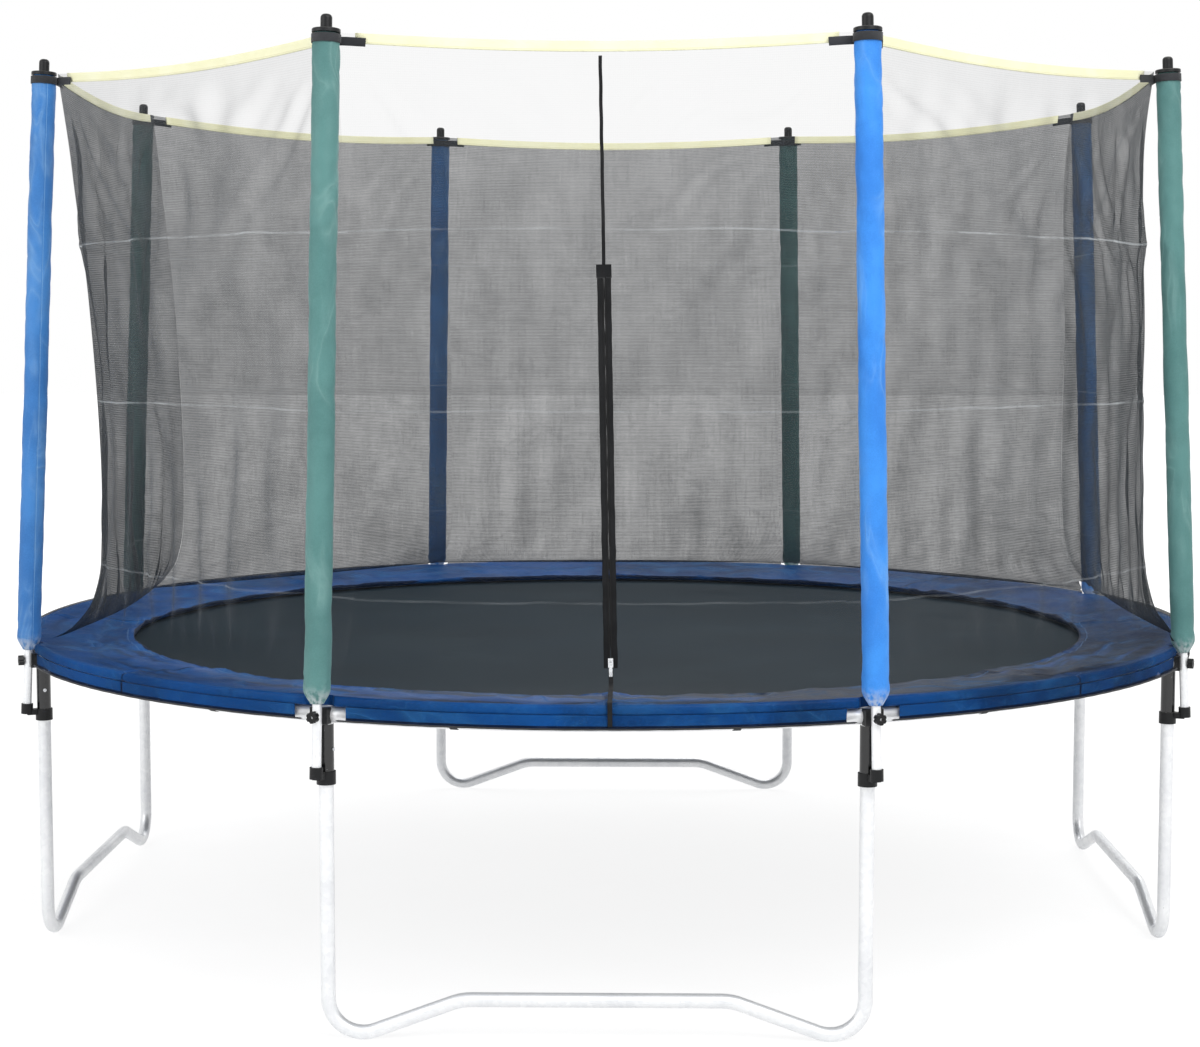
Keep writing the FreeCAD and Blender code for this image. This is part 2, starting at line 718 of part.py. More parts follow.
def make_hand_nuts():
    """Hand nuts with six grip hollows on the bolts' outer ends."""
    body = new_body("hand_nut")
    outline = new_sketch(body, "nut_outline")
    draw_circle(outline, size["hand_nut_width"] / 2)
    draw_circle(outline, size["bolt_width"] / 2 + size["slip_gap"])
    pad(body, outline, size["hand_nut_rise"], "nut_disc")
    hollow = new_sketch(body, "nut_hollow_outline")
    draw_circle(hollow, size["hand_nut_width"] / 8, (size["hand_nut_width"] / 2 * 1.08, 0))
    doc.recompute()
    pocket = body.newObject("PartDesign::Pocket", "nut_hollow")
    pocket.Profile = hollow
    pocket.setExpression("Length", size["hand_nut_rise"].text)
    pocket.Reversed = True
    doc.recompute()
    pattern = body.newObject("PartDesign::PolarPattern", "nut_hollows")
    pattern.Originals = [pocket]
    pattern.Axis = (origin_feature(body, "Z_Axis"), [""])
    pattern.Angle = 360
    pattern.Occurrences = 6
    body.Tip = pattern
    doc.recompute()
    clear = size["slip_gap"] + size["hand_nut_width"] / 2 * sine(size["pole_lean"])
    base = pole_radius + pole_outer + clear
    place(body, (0, -base, size["rail_height"]), (1, 0, 0), 90)
    publish("hand_nuts", turned("hand_nuts", body, STATION_ANGLES))


def make_mat():
    """The jumping mat, the webbing folded over its edge and the loops that hold the rings."""
    level = size["rail_height"]
    mat = cylinder("mat_disc", mat_radius, size["mat_thick"], (0, 0, level - size["mat_thick"] / 2))
    publish("jumping_mat", mat)
    gap = size["slip_gap"]
    inner_half = size["mat_thick"] / 2 + gap
    outer_half = inner_half + size["webbing_thick"]
    edge, back = mat_radius + gap, mat_radius - size["webbing_width"]
    rim = edge + size["webbing_thick"]
    body = new_body("webbing_ring")
    outline = new_sketch(body, "webbing_outline", "XZ_Plane")
    draw_polygon(outline, [(back, level - outer_half), (rim, level - outer_half), (rim, level + outer_half),
                           (back, level + outer_half), (back, level + inner_half), (edge, level + inner_half),
                           (edge, level - inner_half), (back, level - inner_half)])
    turn = body.newObject("PartDesign::Revolution", "webbing_turned")
    turn.Profile = outline
    turn.ReferenceAxis = (outline, ["V_Axis"])
    turn.Angle = 360
    publish("mat_webbing", body)
    loop_room = size["ring_wire"] / 2 + gap
    loop_out = loop_room + size["loop_thick"]
    width, reach = size["loop_width"], size["loop_reach"]
    nose = cylinder("loop_nose", loop_out, width, (width / -2, -ring_line, level), (0, 1, 0), 90)
    leaves = box("loop_leaves", width, reach, loop_out * 2, (0, reach / 2 - ring_line, level - loop_out))
    blank = fuse("loop_blank", [nose, leaves])
    nose_room = cylinder("loop_nose_room", loop_room, width + 2, (width / -2 - 1, -ring_line, level),
                         (0, 1, 0), 90)
    leaf_room = box("loop_leaf_room", width + 2, reach + 1, loop_room * 2,
                    (0, (reach + 1) / 2 - ring_line, level - loop_room))
    loop = cut("mat_loop", blank, [nose_room, leaf_room])
    angles = [index * SPRING_PITCH for index in range(SPRINGS)]
    publish("mat_loops", turned("mat_loops", loop, angles))
    ring = shape_of("mat_ring", ring_shape())
    publish("mat_rings", turned("mat_rings", ring, angles))


def ring_shape():
    """A closed triangle of round wire, its base in the loop and its tip towards the rail."""
    half, depth, bend = (size[name].number for name in ("ring_width", "ring_depth", "ring_corner"))
    half /= 2
    level, line = size["rail_height"].number, ring_line.number
    corners = [Vector(-half, -line, level), Vector(0, -line - depth, level), Vector(half, -line, level)]
    edges = []
    starts, ends, arcs = [], [], []
    for index, corner in enumerate(corners):
        before = (corners[index - 1] - corner).normalize()
        after = (corners[(index + 1) % 3] - corner).normalize()
        half_turn = before.getAngle(after) / 2
        back_off = bend / math.tan(half_turn)
        first, last = corner + before * back_off, corner + after * back_off
        bisector = (before + after).normalize()
        centre = corner + bisector * (bend / math.sin(half_turn))
        starts.append(first)
        ends.append(last)
        arcs.append(Part.Arc(first, centre - bisector * bend, last).toShape())
    for index in range(3):
        edges.append(arcs[index])
        edges.append(Part.LineSegment(ends[index], starts[(index + 1) % 3]).toShape())
    path = Part.Wire(edges)
    start = starts[0]
    direction = arcs[0].tangentAt(arcs[0].FirstParameter)
    section = Part.Wire([Part.makeCircle(size["ring_wire"].number / 2, start, direction)])
    return path.makePipeShell([section], True, False)


def make_springs():
    """Extension springs: the coil drawn as its round envelope, with both hooks."""
    level, wire = size["rail_height"], size["spring_wire"] / 2
    tip = ring_tip
    coil = cylinder("spring_coil", size["spring_coil"] / 2, coil_end - coil_start,
                    (0, -coil_start, level), (1, 0, 0), 90)
    core = cylinder("spring_core", size["spring_coil"] / 2 - size["spring_wire"],
                    coil_end - coil_start - size["spring_wire"] * 2,
                    (0, -coil_start - size["spring_wire"], level), (1, 0, 0), 90)
    body = cut("spring_body", coil, [core])
    hook = size["ring_wire"] / 2 + size["slip_gap"] + wire
    arm = cylinder("mat_hook_arm", wire, size["hook_reach"] + size["spring_wire"] / 2,
                   (0, -tip, level + hook), (1, 0, 0), 90)
    bend = doc.addObject("Part::Torus", "mat_hook_bend")
    bind(bend, Radius1=hook, Radius2=wire)
    bend.Angle3 = 180
    place(bend, (0, -tip, level), (0, 1, 0), 90)
    tail = cylinder("mat_hook_tail", wire, size["hook_depth"], (0, -tip, level - hook), (1, 0, 0), 90)
    inside = size["frame_radius"] - rail_inner + size["spring_wire"] + 0.5
    reach = cylinder("rail_hook_arm", wire, inside - coil_end + size["spring_wire"] / 2,
                     (0, size["spring_wire"] / 2 - coil_end, level), (1, 0, 0), 90)
    corner = doc.addObject("Part::Sphere", "rail_hook_corner")
    bind(corner, Radius=wire)
    place(corner, (0, -inside, level))
    drop = cylinder("rail_hook_drop", wire, size["hook_drop"], (0, -inside, level - size["hook_drop"]))
    spring = fuse("mat_spring", [body, arm, bend, tail, reach, corner, drop])
    angles = [index * SPRING_PITCH for index in range(SPRINGS)]
    publish("springs", turned("springs", spring, angles))


def pad_outline(inset=0):
    """The spring cover's section without its skirt, drawn in by an inset."""
    inner = size["frame_radius"] - size["pad_inset"] + inset
    outer = size["frame_radius"] + size["pad_edge"] - inset
    low = rail_top + size["tie_thick"] + size["slip_gap"] * 2
    low_inner = size["rail_height"] + size["pad_underside"]
    rail_side = size["frame_radius"] - rail_outer
    corner = size["pad_corner"]
    top_inner = low_inner + size["pad_inner_thick"] - inset
    top_outer = low + size["pad_outer_thick"] - inset
    over_springs = size["rail_height"] + size["spring_coil"] / 2 + size["slip_gap"]
    return [(inner, low_inner + inset), (coil_start, over_springs + inset), (rail_side, low + inset),
            (outer, low + inset),
            (outer, top_outer - corner), (outer - corner, top_outer),
            (inner + corner, top_inner), (inner, top_inner - corner)]


def turned_profile(name, points):
    """A full ring about Z with the given section."""
    body = new_body(name)
    outline = new_sketch(body, name + "_outline", "XZ_Plane")
    draw_polygon(outline, points)
    turn = body.newObject("PartDesign::Revolution", name + "_turned")
    turn.Profile = outline
    turn.ReferenceAxis = (outline, ["V_Axis"])
    turn.Angle = 360
    return body


def pole_notches(name, margin=0):
    """Round notches for the poles, right through the spring cover's outer edge."""
    start = size["sleeve_start"] - size["pad_outer_thick"] * 2.5
    rise = size["pad_outer_thick"] * 4
    notch = along_pole(cylinder(name + "_bar", pole_notch + margin, rise), start)
    return turned(name, notch, STATION_ANGLES)


def make_spring_cover():
    """The padded ring over the springs: a vinyl skin with a skirt, its foam and its ties."""
    skin = size["pad_skin"]
    solid = turned_profile("pad_blank", pad_outline())
    skirt_outer = size["frame_radius"] + size["pad_edge"]
    skirt_inner = skirt_outer - size["skirt_thick"]
    low = rail_top + size["tie_thick"] + size["slip_gap"] * 2
    skirt_foot = size["rail_height"] - size["skirt_drop"]
    skirt = turned_profile("skirt_blank", [(skirt_inner, skirt_foot), (skirt_outer, skirt_foot),
                                           (skirt_outer, low + skin), (skirt_inner, low + skin)])
    gap_box = box("skirt_gap", size["skirt_notch"], size["pad_edge"], low - skirt_foot,
                  (0, -skirt_outer, skirt_foot - 1))
    gaps = turned("skirt_gaps", gap_box, STATION_ANGLES)
    hung_skirt = cut("skirt_notched", skirt, [gaps])
    blank = fuse("pad_with_skirt", [solid, hung_skirt])
    outside = cut("pad_outside", blank, [pole_notches("pad_notches")])
    cavity = turned_profile("pad_cavity", pad_outline(skin))
    room = cut("pad_room", cavity, [pole_notches("cavity_notches", skin)])
    publish("pad_cover", cut("pad_skin_shell", outside, [room]))
    inset = skin + size["slip_gap"]
    foam = turned_profile("foam_blank", pad_outline(inset))
    publish("pad_foam", cut("pad_foam_ring", foam, [pole_notches("foam_notches", inset)]))
    gap = size["slip_gap"]
    width = size["tie_width"]
    place_at = (width / -2, -size["frame_radius"], size["rail_height"])
    outer = cylinder("tie_outer", rail_outer + gap + size["tie_thick"], width, place_at, (0, 1, 0), 90)
    hole = ring_arc("tie_inner", size["frame_radius"], rail_outer + gap, -93, as_size(6), size["rail_height"])
    tie = cut("pad_tie", outer, [hole])
    pitch = 360.0 / PAD_TIES
    publish("pad_ties", turned("pad_ties", tie, [(index + 0.5) * pitch for index in range(PAD_TIES)]))


def net_levels():
    """Heights of the net's surface from top to hem, each with its radius at the panel's corner
    and middle and its height at both. The last flag says whether the panel is straight there."""
    middle, waist, brink = net_middle.number, net_waist.number, net_edge.number
    top_corner, top, sag = net_corner.number, net_top.number, size["net_sag"].number
    top_middle = top_corner * math.cos(math.radians(half_pitch.number))
    foot = zip_foot.number
    edge = brink + size["net_thick"].number / 2
    brow = pad_top.number + size["net_rest"].number
    rise = top - foot
    return [
        (top_corner, top_middle, top, top - sag, True),
        (waist + 0.52 * (top_corner - waist), middle, foot + 0.83 * rise, foot + 0.83 * rise, True),
        (waist + 0.10 * (top_corner - waist), middle, foot + 0.58 * rise, foot + 0.58 * rise, True),
        (waist, middle, foot + 0.31 * rise, foot + 0.31 * rise, True),
        (waist + 8, middle, foot + 0.11 * rise, foot + 0.11 * rise, True),
        (waist + 34, middle, foot + 62, foot + 62, True),
        (waist + 90, middle, foot - 12, foot - 12, True),
        (waist + 122, middle + 10, foot - 37, foot - 37, True),
        (waist + 140, middle + 35, brow + 7, brow + 9, False),
        (edge - 4, edge - 4, brow, brow, False),
        (edge, edge, brow - 5, brow - 5, False),
        (edge, edge, net_hem.number, net_hem.number, False),
    ]


def net_profile(angle):
    """Points of the net's middle surface in one upright plane, as radius and height."""
    share = 1 - (angle / half_pitch.number) ** 2
    flat = math.cos(math.radians(half_pitch.number)) / math.cos(math.radians(angle))
    points = []
    for corner, middle, corner_height, middle_height, straight in net_levels():
        height = corner_height + (middle_height - corner_height) * share
        if straight:
            chord = corner * math.cos(math.radians(half_pitch.number))
            radius = corner * flat + (middle - chord) * share
        else:
            radius = corner + (middle - corner) * share
        points.append((radius, height))
    return points


def offset_line(points, distance):
    """Move an open line of points sideways by a distance, with mitred corners."""
    moved = []
    for index, (x, z) in enumerate(points):
        sides = []
        for first, second in ((index - 1, index), (index, index + 1)):
            if 0 <= first and second < len(points):
                dx, dz = points[second][0] - points[first][0], points[second][1] - points[first][1]
                length = math.hypot(dx, dz)
                sides.append((-dz / length, dx / length))
        nx, nz = (sum(side[axis] for side in sides) / len(sides) for axis in (0, 1))
        scale = distance / (nx * nx + nz * nz)
        moved.append((x + nx * scale, z + nz * scale))
    return moved


def section_wire(outline, angle):
    """A closed outline of radius and height, stood up in the plane at an angle from -Y."""
    turn = math.radians(angle)
    points = [Vector(r * math.sin(turn), -r * math.cos(turn), z) for r, z in outline]
    return Part.makePolygon(points + points[:1])


def strip_solid(outline_at, half_width, steps=6):
    """Loft an outline, given as a function of the angle, over both halves of a panel."""
    angles = [half_width * (2 * step / steps - 1) for step in range(steps + 1)]
    return Part.makeLoft([section_wire(outline_at(angle), angle) for angle in angles], True, False)


def net_outline(angle):
    """The closed section of one net panel at an angle."""
    line = net_profile(angle)
    half = size["net_thick"].number / 2
    return offset_line(line, half) + offset_line(line, -half)[::-1]


def band_outline(angle):
    """The closed section of the top band, folded over the net's top edge."""
    top, below = net_profile(angle)[:2]
    length = math.hypot(below[0] - top[0], below[1] - top[1])
    along = ((below[0] - top[0]) / length, (below[1] - top[1]) / length)
    inner = size["net_thick"].number / 2 + size["slip_gap"].number
    outer = inner + size["band_thick"].number
    lift = size["slip_gap"].number
    rise, thick = size["band_rise"].number, size["band_thick"].number

    def at(side, down):
        return (top[0] + along[0] * down - along[1] * side, top[1] + along[1] * down + along[0] * side)

    return [at(outer, rise), at(outer, -lift - thick), at(-outer, -lift - thick), at(-outer, rise),
            at(-inner, rise), at(-inner, -lift), at(inner, -lift), at(inner, rise)]


def make_net():
    """Eight net panels, the front one slit for the zip, with the top band and the hem cord."""
    gap = math.degrees(size["slip_gap"].number / net_waist.number)
    panel = shape_of("net_panel_blank", strip_solid(net_outline, half_pitch.number - gap))
    notches = [group(f"net_notch_{side}", [along_pole(cylinder(f"net_notch_bar_{side}", pole_notch,
                                                               size["pad_outer_thick"] * 4),
                                                      size["sleeve_start"] - size["pad_outer_thick"] * 2.5)],
                     sign * half_pitch.number)
               for side, sign in (("right", 1), ("left", -1))]
    plain = cut("net_panel", panel, notches)
    below = size["stop_rise"] + size["slip_gap"] * 2
    above = size["stop_rise"] * 2 + size["slip_gap"] * 2
    slot = zip_box("zip_slot_room", size["zip_slot"], size["zip_slot"], size["zip_length"] + below + above,
                   0, -below)
    slit = zip_box("zip_slit_room", size["zip_slit"], zip_foot, zip_foot, 0,
                   1 - below - zip_foot)
    front = cut("net_front_panel", plain, [slot, slit])
    panels = [front] + [group(f"net_panel_{index}", [plain], angle)
                        for index, angle in enumerate(PANEL_ANGLES[1:], start=2)]
    publish("safety_net", group("safety_net", panels))
    set_back = math.degrees(size["band_set_back"].number / net_corner.number)
    band = shape_of("band_strip", strip_solid(band_outline, half_pitch.number - set_back))
    publish("net_top_band", turned("net_top_band", band, PANEL_ANGLES))
    edge = net_edge + size["hem_cord"] / 2
    clear = degrees(pole_notch + size["hem_cord"])
    start = clear - STATION_PITCH / 2 - 90
    height = net_hem - size["slip_gap"] - size["hem_cord"] / 2
    cord = ring_arc("hem_cord_arc", edge, size["hem_cord"] / 2, start, STATION_PITCH - clear * 2, height)
    publish("net_hem_cord", turned("net_hem_cord", cord, PANEL_ANGLES))


def make_straps():
    """Straps from the band's ends round the top of each sleeve."""
    inner = size["sleeve_width"] / 2 + size["slip_gap"]
    rise = size["strap_rise"]
    low = size["pole_length"] - rise - size["strap_drop"]
    hoop = along_pole(cylinder("strap_hoop", inner + size["strap_thick"], rise), low)
    tails = []
    away = size["net_thick"] / 2 + size["slip_gap"] * 2 + size["band_thick"] + size["strap_thick"] / 2
    height = pole_foot + low * cosine(size["pole_lean"])
    turn = half_pitch.number
    for side, sign in (("right", 1), ("left", -1)):
        along = Vector(sign * math.cos(math.radians(turn)), math.sin(math.radians(turn)), 0)
        out = Vector(sign * math.sin(math.radians(turn)), -math.cos(math.radians(turn)), 0)
        reach = size["strap_tail"] / 2
        base = (reach * along.x + away * out.x,
                reach * along.y + away * out.y - net_corner, height)
        tails.append(box(f"strap_tail_{side}", size["strap_tail"], size["strap_thick"], rise, base,
                         (0, 0, 1), sign * turn))
    blank = fuse("strap_blank", [hoop] + tails)
    room = along_pole(cylinder("strap_room", inner, rise * 3), low - rise)
    strap = cut("net_strap", blank, [room])
    publish("net_straps", turned("net_straps", strap, STATION_ANGLES))


def on_zip(item, x=0, y=0, z=0):
    """Place an item in the zip's own frame: Z up its length, -Y out of the net."""
    lean = size["zip_lean"]
    z = as_size(z)
    base = (size["zip_foot_x"] + as_size(x) * cosine(lean) - z * sine(lean),
            as_size(y) - net_middle,
            zip_foot + as_size(x) * sine(lean) + z * cosine(lean))
    place(item, base, (0, 1, 0), -lean)
    return item


def zip_box(name, length, width, height, middle_y, low):
    """A box centred on the zip's line in its own frame."""
    item = doc.addObject("Part::Box", name)
    bind(item, Length=length, Width=width, Height=height)
    return on_zip(item, as_size(length) / -2, as_size(middle_y) - as_size(width) / 2, low)


def zip_stack():
    """The distances out of the net at which the zip's layers lie."""
    tape_in = size["net_thick"] / 2 + size["slip_gap"]
    tape_out = tape_in + size["tape_thick"]
    middle = (tape_in + tape_out) / 2
    return tape_in, tape_out, middle - size["teeth_thick"] / 2, middle + size["teeth_thick"] / 2


def make_zip_tapes():
    """Two tapes with their teeth, the end stops and the seam above the zip."""
    tape_in, tape_out, teeth_in, teeth_out = zip_stack()
    gap = size["teeth_gap"] / 2
    body = new_body("zip_tape")
    outline = new_sketch(body, "tape_outline")
    teeth = gap + size["teeth_width"]
    far = gap + size["tape_width"]
    draw_polygon(outline, [(gap, -teeth_in), (teeth, -teeth_in), (teeth, -tape_in), (far, -tape_in),
                           (far, -tape_out), (teeth, -tape_out), (teeth, -teeth_out), (gap, -teeth_out)])
    pad(body, outline, size["zip_length"], "tape_strip")
    right = on_zip(group("zip_tape_right", [body]))
    flipped = doc.addObject("Part::Mirroring", "zip_tape_flipped")
    flipped.Source = body
    flipped.Normal = Vector(1, 0, 0)
    left = on_zip(group("zip_tape_left", [flipped]))
    middle = (teeth_in + teeth_out) / -2
    width = size["teeth_gap"] + size["teeth_width"] * 2
    rise, clear = size["stop_rise"], size["slip_gap"]
    low = zip_box("zip_stop_low", width, size["teeth_thick"], rise, middle, -rise - clear)
    high = zip_box("zip_stop_high", width * 1.5, size["teeth_thick"], rise * 2, middle,
                   size["zip_length"] + clear)
    seam_top = net_top - size["net_sag"] - size["band_rise"] * 1.4 - zip_foot
    seam_start = size["zip_length"] + rise * 2 + clear * 2
    seam_middle = (tape_in + size["seam_thick"] / 2) * -1
    seam = zip_box("zip_seam", size["seam_width"], size["seam_thick"], seam_top - seam_start,
                   seam_middle, seam_start)
    publish("zip_tapes", group("zip_tapes", [right, left, low, high, seam]))


def make_zip_slider():
    """The slider: two plates joined by a neck between the teeth, with ears for the pull's pin."""
    tape_in, tape_out, teeth_in, teeth_out = zip_stack()
    clear, plate = size["slip_gap"], size["slider_plate"]
    half, neck = size["slider_width"] / 2, size["slider_neck"] / 2
    back, front = teeth_in - clear, teeth_out + clear
    body = new_body("slider_block")
    outline = new_sketch(body, "slider_outline")
    draw_polygon(outline, [(-half, plate - back), (-half, -back), (-neck, -back), (-neck, -front),
                           (-half, -front), (-half, -front - plate), (half, -front - plate),
                           (half, -front), (neck, -front), (neck, -back), (half, -back),
                           (half, plate - back)])
    pad(body, outline, size["slider_rise"], "slider_plates")
    block = on_zip(group("slider_placed", [body]), z=size["slider_rest"])
    pin_y = front + plate + size["bail_offset"]
    pin_z = size["slider_rest"] + size["slider_rise"] * 0.7
    ear_x = size["pull_width"] / 2 * 0.6 + clear
    ear = size["slider_width"] / 2 - ear_x
    ears = []
    for side, start in (("right", ear_x), ("left", -ear_x - ear)):
        depth = size["bail_offset"] + size["bail_pin"]
        item = doc.addObject("Part::Box", f"slider_ear_{side}")
        bind(item, Length=ear, Width=depth, Height=size["bail_pin"] * 2)
        ears.append(on_zip(item, start, -front - plate - depth, pin_z - size["bail_pin"]))
    pin = doc.addObject("Part::Cylinder", "slider_pin")
    bind(pin, Radius=size["bail_pin"] / 2, Height=size["slider_width"] - ear)
    lean = size["zip_lean"]
    half_pin = (size["slider_width"] - ear) / 2
    base = (size["zip_foot_x"] - half_pin * cosine(lean) - pin_z * sine(lean), -pin_y - net_middle,
            zip_foot - half_pin * sine(lean) + pin_z * cosine(lean))
    place(pin, base, (0, 1, 0), 90 - lean)
    publish("zip_slider", fuse("zip_slider_solid", [block] + ears + [pin]))
    return pin_y, pin_z


def make_zip_pull(pin_y, pin_z):
    """The pull tab, hung on the slider's pin by its eye."""
    body = new_body("pull_tab")
    outline = new_sketch(body, "pull_outline", "XZ_Plane")
    half, length = size["pull_width"] / 2, size["pull_length"]
    neck, eye = half * 0.6, size["bail_pin"] / 2 + size["slip_gap"]
    head = eye + size["pull_thick"] * 0.75
    draw_polygon(outline, [(-neck, head), (-neck, -length / 3), (-half, -length / 2), (-half, -length),
                           (half, -length), (half, -length / 2), (neck, -length / 3), (neck, head)])
    tab = pad(body, outline, size["pull_thick"], "pull_plate")
    tab.Midplane = True
    doc.recompute()
    barrel = cylinder("pull_eye", head, neck * 2, (-neck, 0, 0), (0, 1, 0), 90)
    blank = fuse("pull_blank", [body, barrel])
    hole = cylinder("pull_hole", eye, neck * 2 + 2, (-neck - 1, 0, 0), (0, 1, 0), 90)
    pull = cut("pull_drilled", blank, [hole])
    publish("zip_pull", on_zip(group("zip_pull_placed", [pull]), y=-pin_y, z=pin_z))


def check_document():
    """Stop if an object failed, a size isn't what the sheet says or a shape isn't sound."""
    for item in doc.Objects:
        if "Invalid" in item.State or "Error" in item.State:
            raise RuntimeError(f"{item.Name} did not compute: {item.State}")
    for item, name, number in bound:
        value = getattr(item, name)
        if abs(float(getattr(value, "Value", value)) - number) > 1e-6:
            raise RuntimeError(f"{item.Name}.{name} is {value}, not {number}")
    for label, item in parts.items():
        if item.Shape.isNull() or not item.Shape.isValid() or not item.Shape.Solids:
            raise RuntimeError(f"{label} has no sound solid")


def write_parts():
    """Write each sub-part's shape to its own file."""
    os.makedirs("parts", exist_ok=True)
    for label, item in parts.items():
        item.Shape.exportStep(f"parts/{label}.step")
        bounds = item.Shape.BoundBox
        print(f"{label:22} solids {len(item.Shape.Solids):3}  volume {item.Shape.Volume / 1000:10.1f} cm3"
              f"  z {bounds.ZMin:8.2f} to {bounds.ZMax:8.2f}")


make_top_rails()
make_leg_bases()
make_leg_uprights()
make_socket_screws()
make_poles()
make_sleeves()
make_pole_caps()
make_foot_brackets()
make_saddles()
make_pole_bolts()
make_hand_nuts()
make_mat()
make_springs()
make_spring_cover()
make_net()
make_straps()
make_zip_tapes()
make_zip_pull(*make_zip_slider())
doc.recompute()
check_document()
write_parts()
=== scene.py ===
"""Visual model of a round garden trampoline with an eight-pole safety net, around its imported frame.

Units are metres. +Z is up, the ground is Z = 0 and the origin is the centre of the frame's circle.
The zip door faces -Y. Angles round the frame are in degrees, counted from -Y towards +X.
"""
import logging
import math
from dataclasses import dataclass, field
from enum import Enum

import bpy
import bmesh
import numpy as np
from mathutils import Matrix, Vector


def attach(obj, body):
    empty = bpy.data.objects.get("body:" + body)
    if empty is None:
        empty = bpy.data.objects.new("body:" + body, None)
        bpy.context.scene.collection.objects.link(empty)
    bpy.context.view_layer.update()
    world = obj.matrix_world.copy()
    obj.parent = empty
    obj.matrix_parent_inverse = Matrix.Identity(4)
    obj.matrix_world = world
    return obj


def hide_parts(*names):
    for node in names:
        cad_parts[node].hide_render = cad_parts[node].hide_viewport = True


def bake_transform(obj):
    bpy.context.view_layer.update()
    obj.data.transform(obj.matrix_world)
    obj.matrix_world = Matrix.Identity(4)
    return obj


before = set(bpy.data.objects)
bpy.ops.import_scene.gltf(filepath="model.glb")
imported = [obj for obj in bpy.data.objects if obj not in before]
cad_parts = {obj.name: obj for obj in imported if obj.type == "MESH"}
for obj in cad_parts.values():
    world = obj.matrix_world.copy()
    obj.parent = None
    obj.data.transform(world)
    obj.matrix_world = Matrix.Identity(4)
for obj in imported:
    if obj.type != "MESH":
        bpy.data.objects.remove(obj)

LOG = logging.getLogger("trampoline")
TAU = 2.0 * math.pi
UP = np.array([0.0, 0.0, 1.0])
HALF = 22.5
PANELS = [2 * HALF * index for index in range(8)]
STATIONS = [middle - HALF for middle in PANELS]
RAIL_RADIUS, LEVEL = 1.809, 0.850
PAD_ARC = 1.68
NOTCH_TOP = 0.4
PACKED_AT = (2.083, 1.619, 1.127)

Colour = tuple[float, ...]
Spread = np.ndarray | float


def linear(red: float, green: float, blue: float) -> Colour:
    """Turn a screen colour of 0 to 255 a channel into the linear colour that a node takes.

    Args:
        red: the red channel.
        green: the green channel.
        blue: the blue channel.

    Returns:
        The four linear channels, opaque.
    """
    shares = [channel / 255.0 for channel in (red, green, blue)]
    low = [s / 12.92 if s <= 0.04045 else ((s + 0.055) / 1.055) ** 2.4 for s in shares]
    return (low[0], low[1], low[2], 1.0)


def polar(angle: Spread, radius: Spread, height: Spread) -> np.ndarray:
    """Place points round the frame's axis: x = r sin a, y = -r cos a, z = height.

    Args:
        angle: angles in degrees from -Y towards +X.
        radius: distances from the axis.
        height: heights above the ground.

    Returns:
        An array of the inputs' common shape with a last axis of 3.
    """
    turn = np.radians(angle)
    x, y, z = np.broadcast_arrays(radius * np.sin(turn), -radius * np.cos(turn), height)
    return np.stack([x, y, z], axis=-1).astype(float)


def compass(angle: float) -> tuple[np.ndarray, np.ndarray]:
    """The unit vectors outwards and round the frame at an angle."""
    turn = math.radians(angle)
    return polar(angle, 1.0, 0.0), np.array([math.cos(turn), math.sin(turn), 0.0])


def smooth_step(low: float, high: float, value: np.ndarray) -> np.ndarray:
    """Rise from 0 at low to 1 at high along t*t*(3 - 2t)."""
    t = np.clip((np.asarray(value, float) - low) / (high - low), 0.0, 1.0)
    return t * t * (3.0 - 2.0 * t)


def bump_at(value: np.ndarray, centre: float, width: float) -> np.ndarray:
    """A bell exp(-((v - c) / w)^2) round a centre."""
    return np.exp(-(((value - centre) / width) ** 2))


def run_along(points: np.ndarray) -> np.ndarray:
    """The length walked along a line of points, at each point."""
    return np.concatenate([[0.0], np.cumsum(np.linalg.norm(np.diff(points, axis=0), axis=-1))])


def flow_of(centres: np.ndarray) -> np.ndarray:
    """The unit vector along a path at each of its points."""
    flow = np.gradient(centres, axis=0)
    return flow / np.linalg.norm(flow, axis=1, keepdims=True)


@dataclass(frozen=True)
class Ripple:
    """A smooth random field: a sum of plane waves with random directions and phases."""

    seed: int
    wavelength: float
    waves: int = 14
    stretch: float = 1.0

    def at(self, u: Spread, v: Spread = 0.0) -> np.ndarray:
        """Add up cos(k . (u, v) + phase), with wave lengths within a third of the stated one.

        Args:
            u: first coordinate, in metres.
            v: second coordinate, in metres, along which the field is drawn out by stretch.

        Returns:
            The field, about -1 to 1.
        """
        dice = np.random.default_rng(self.seed)
        heading = dice.uniform(0.0, TAU, self.waves)
        size = TAU / (self.wavelength * dice.uniform(0.7, 1.4, self.waves))
        phase = dice.uniform(0.0, TAU, self.waves)
        ku, kv = size * np.cos(heading), size * np.sin(heading) / self.stretch
        total = np.cos(np.multiply.outer(u, ku) + np.multiply.outer(v, kv) + phase).sum(axis=-1)
        return total / math.sqrt(self.waves)


def closed_ends(grid: np.ndarray) -> np.ndarray:
    """A grid with the middle of its first row repeated before it and that of its last after it."""
    first, last = (np.broadcast_to(end.mean(axis=1, keepdims=True), end.shape)
                   for end in (grid[:1], grid[-1:]))
    return np.concatenate([first, grid, last])


@dataclass
class Patch:
    """A grid of points with its texture coordinates and the faces between them."""

    points: np.ndarray
    faces: np.ndarray
    corners: np.ndarray
    slot: int = 0


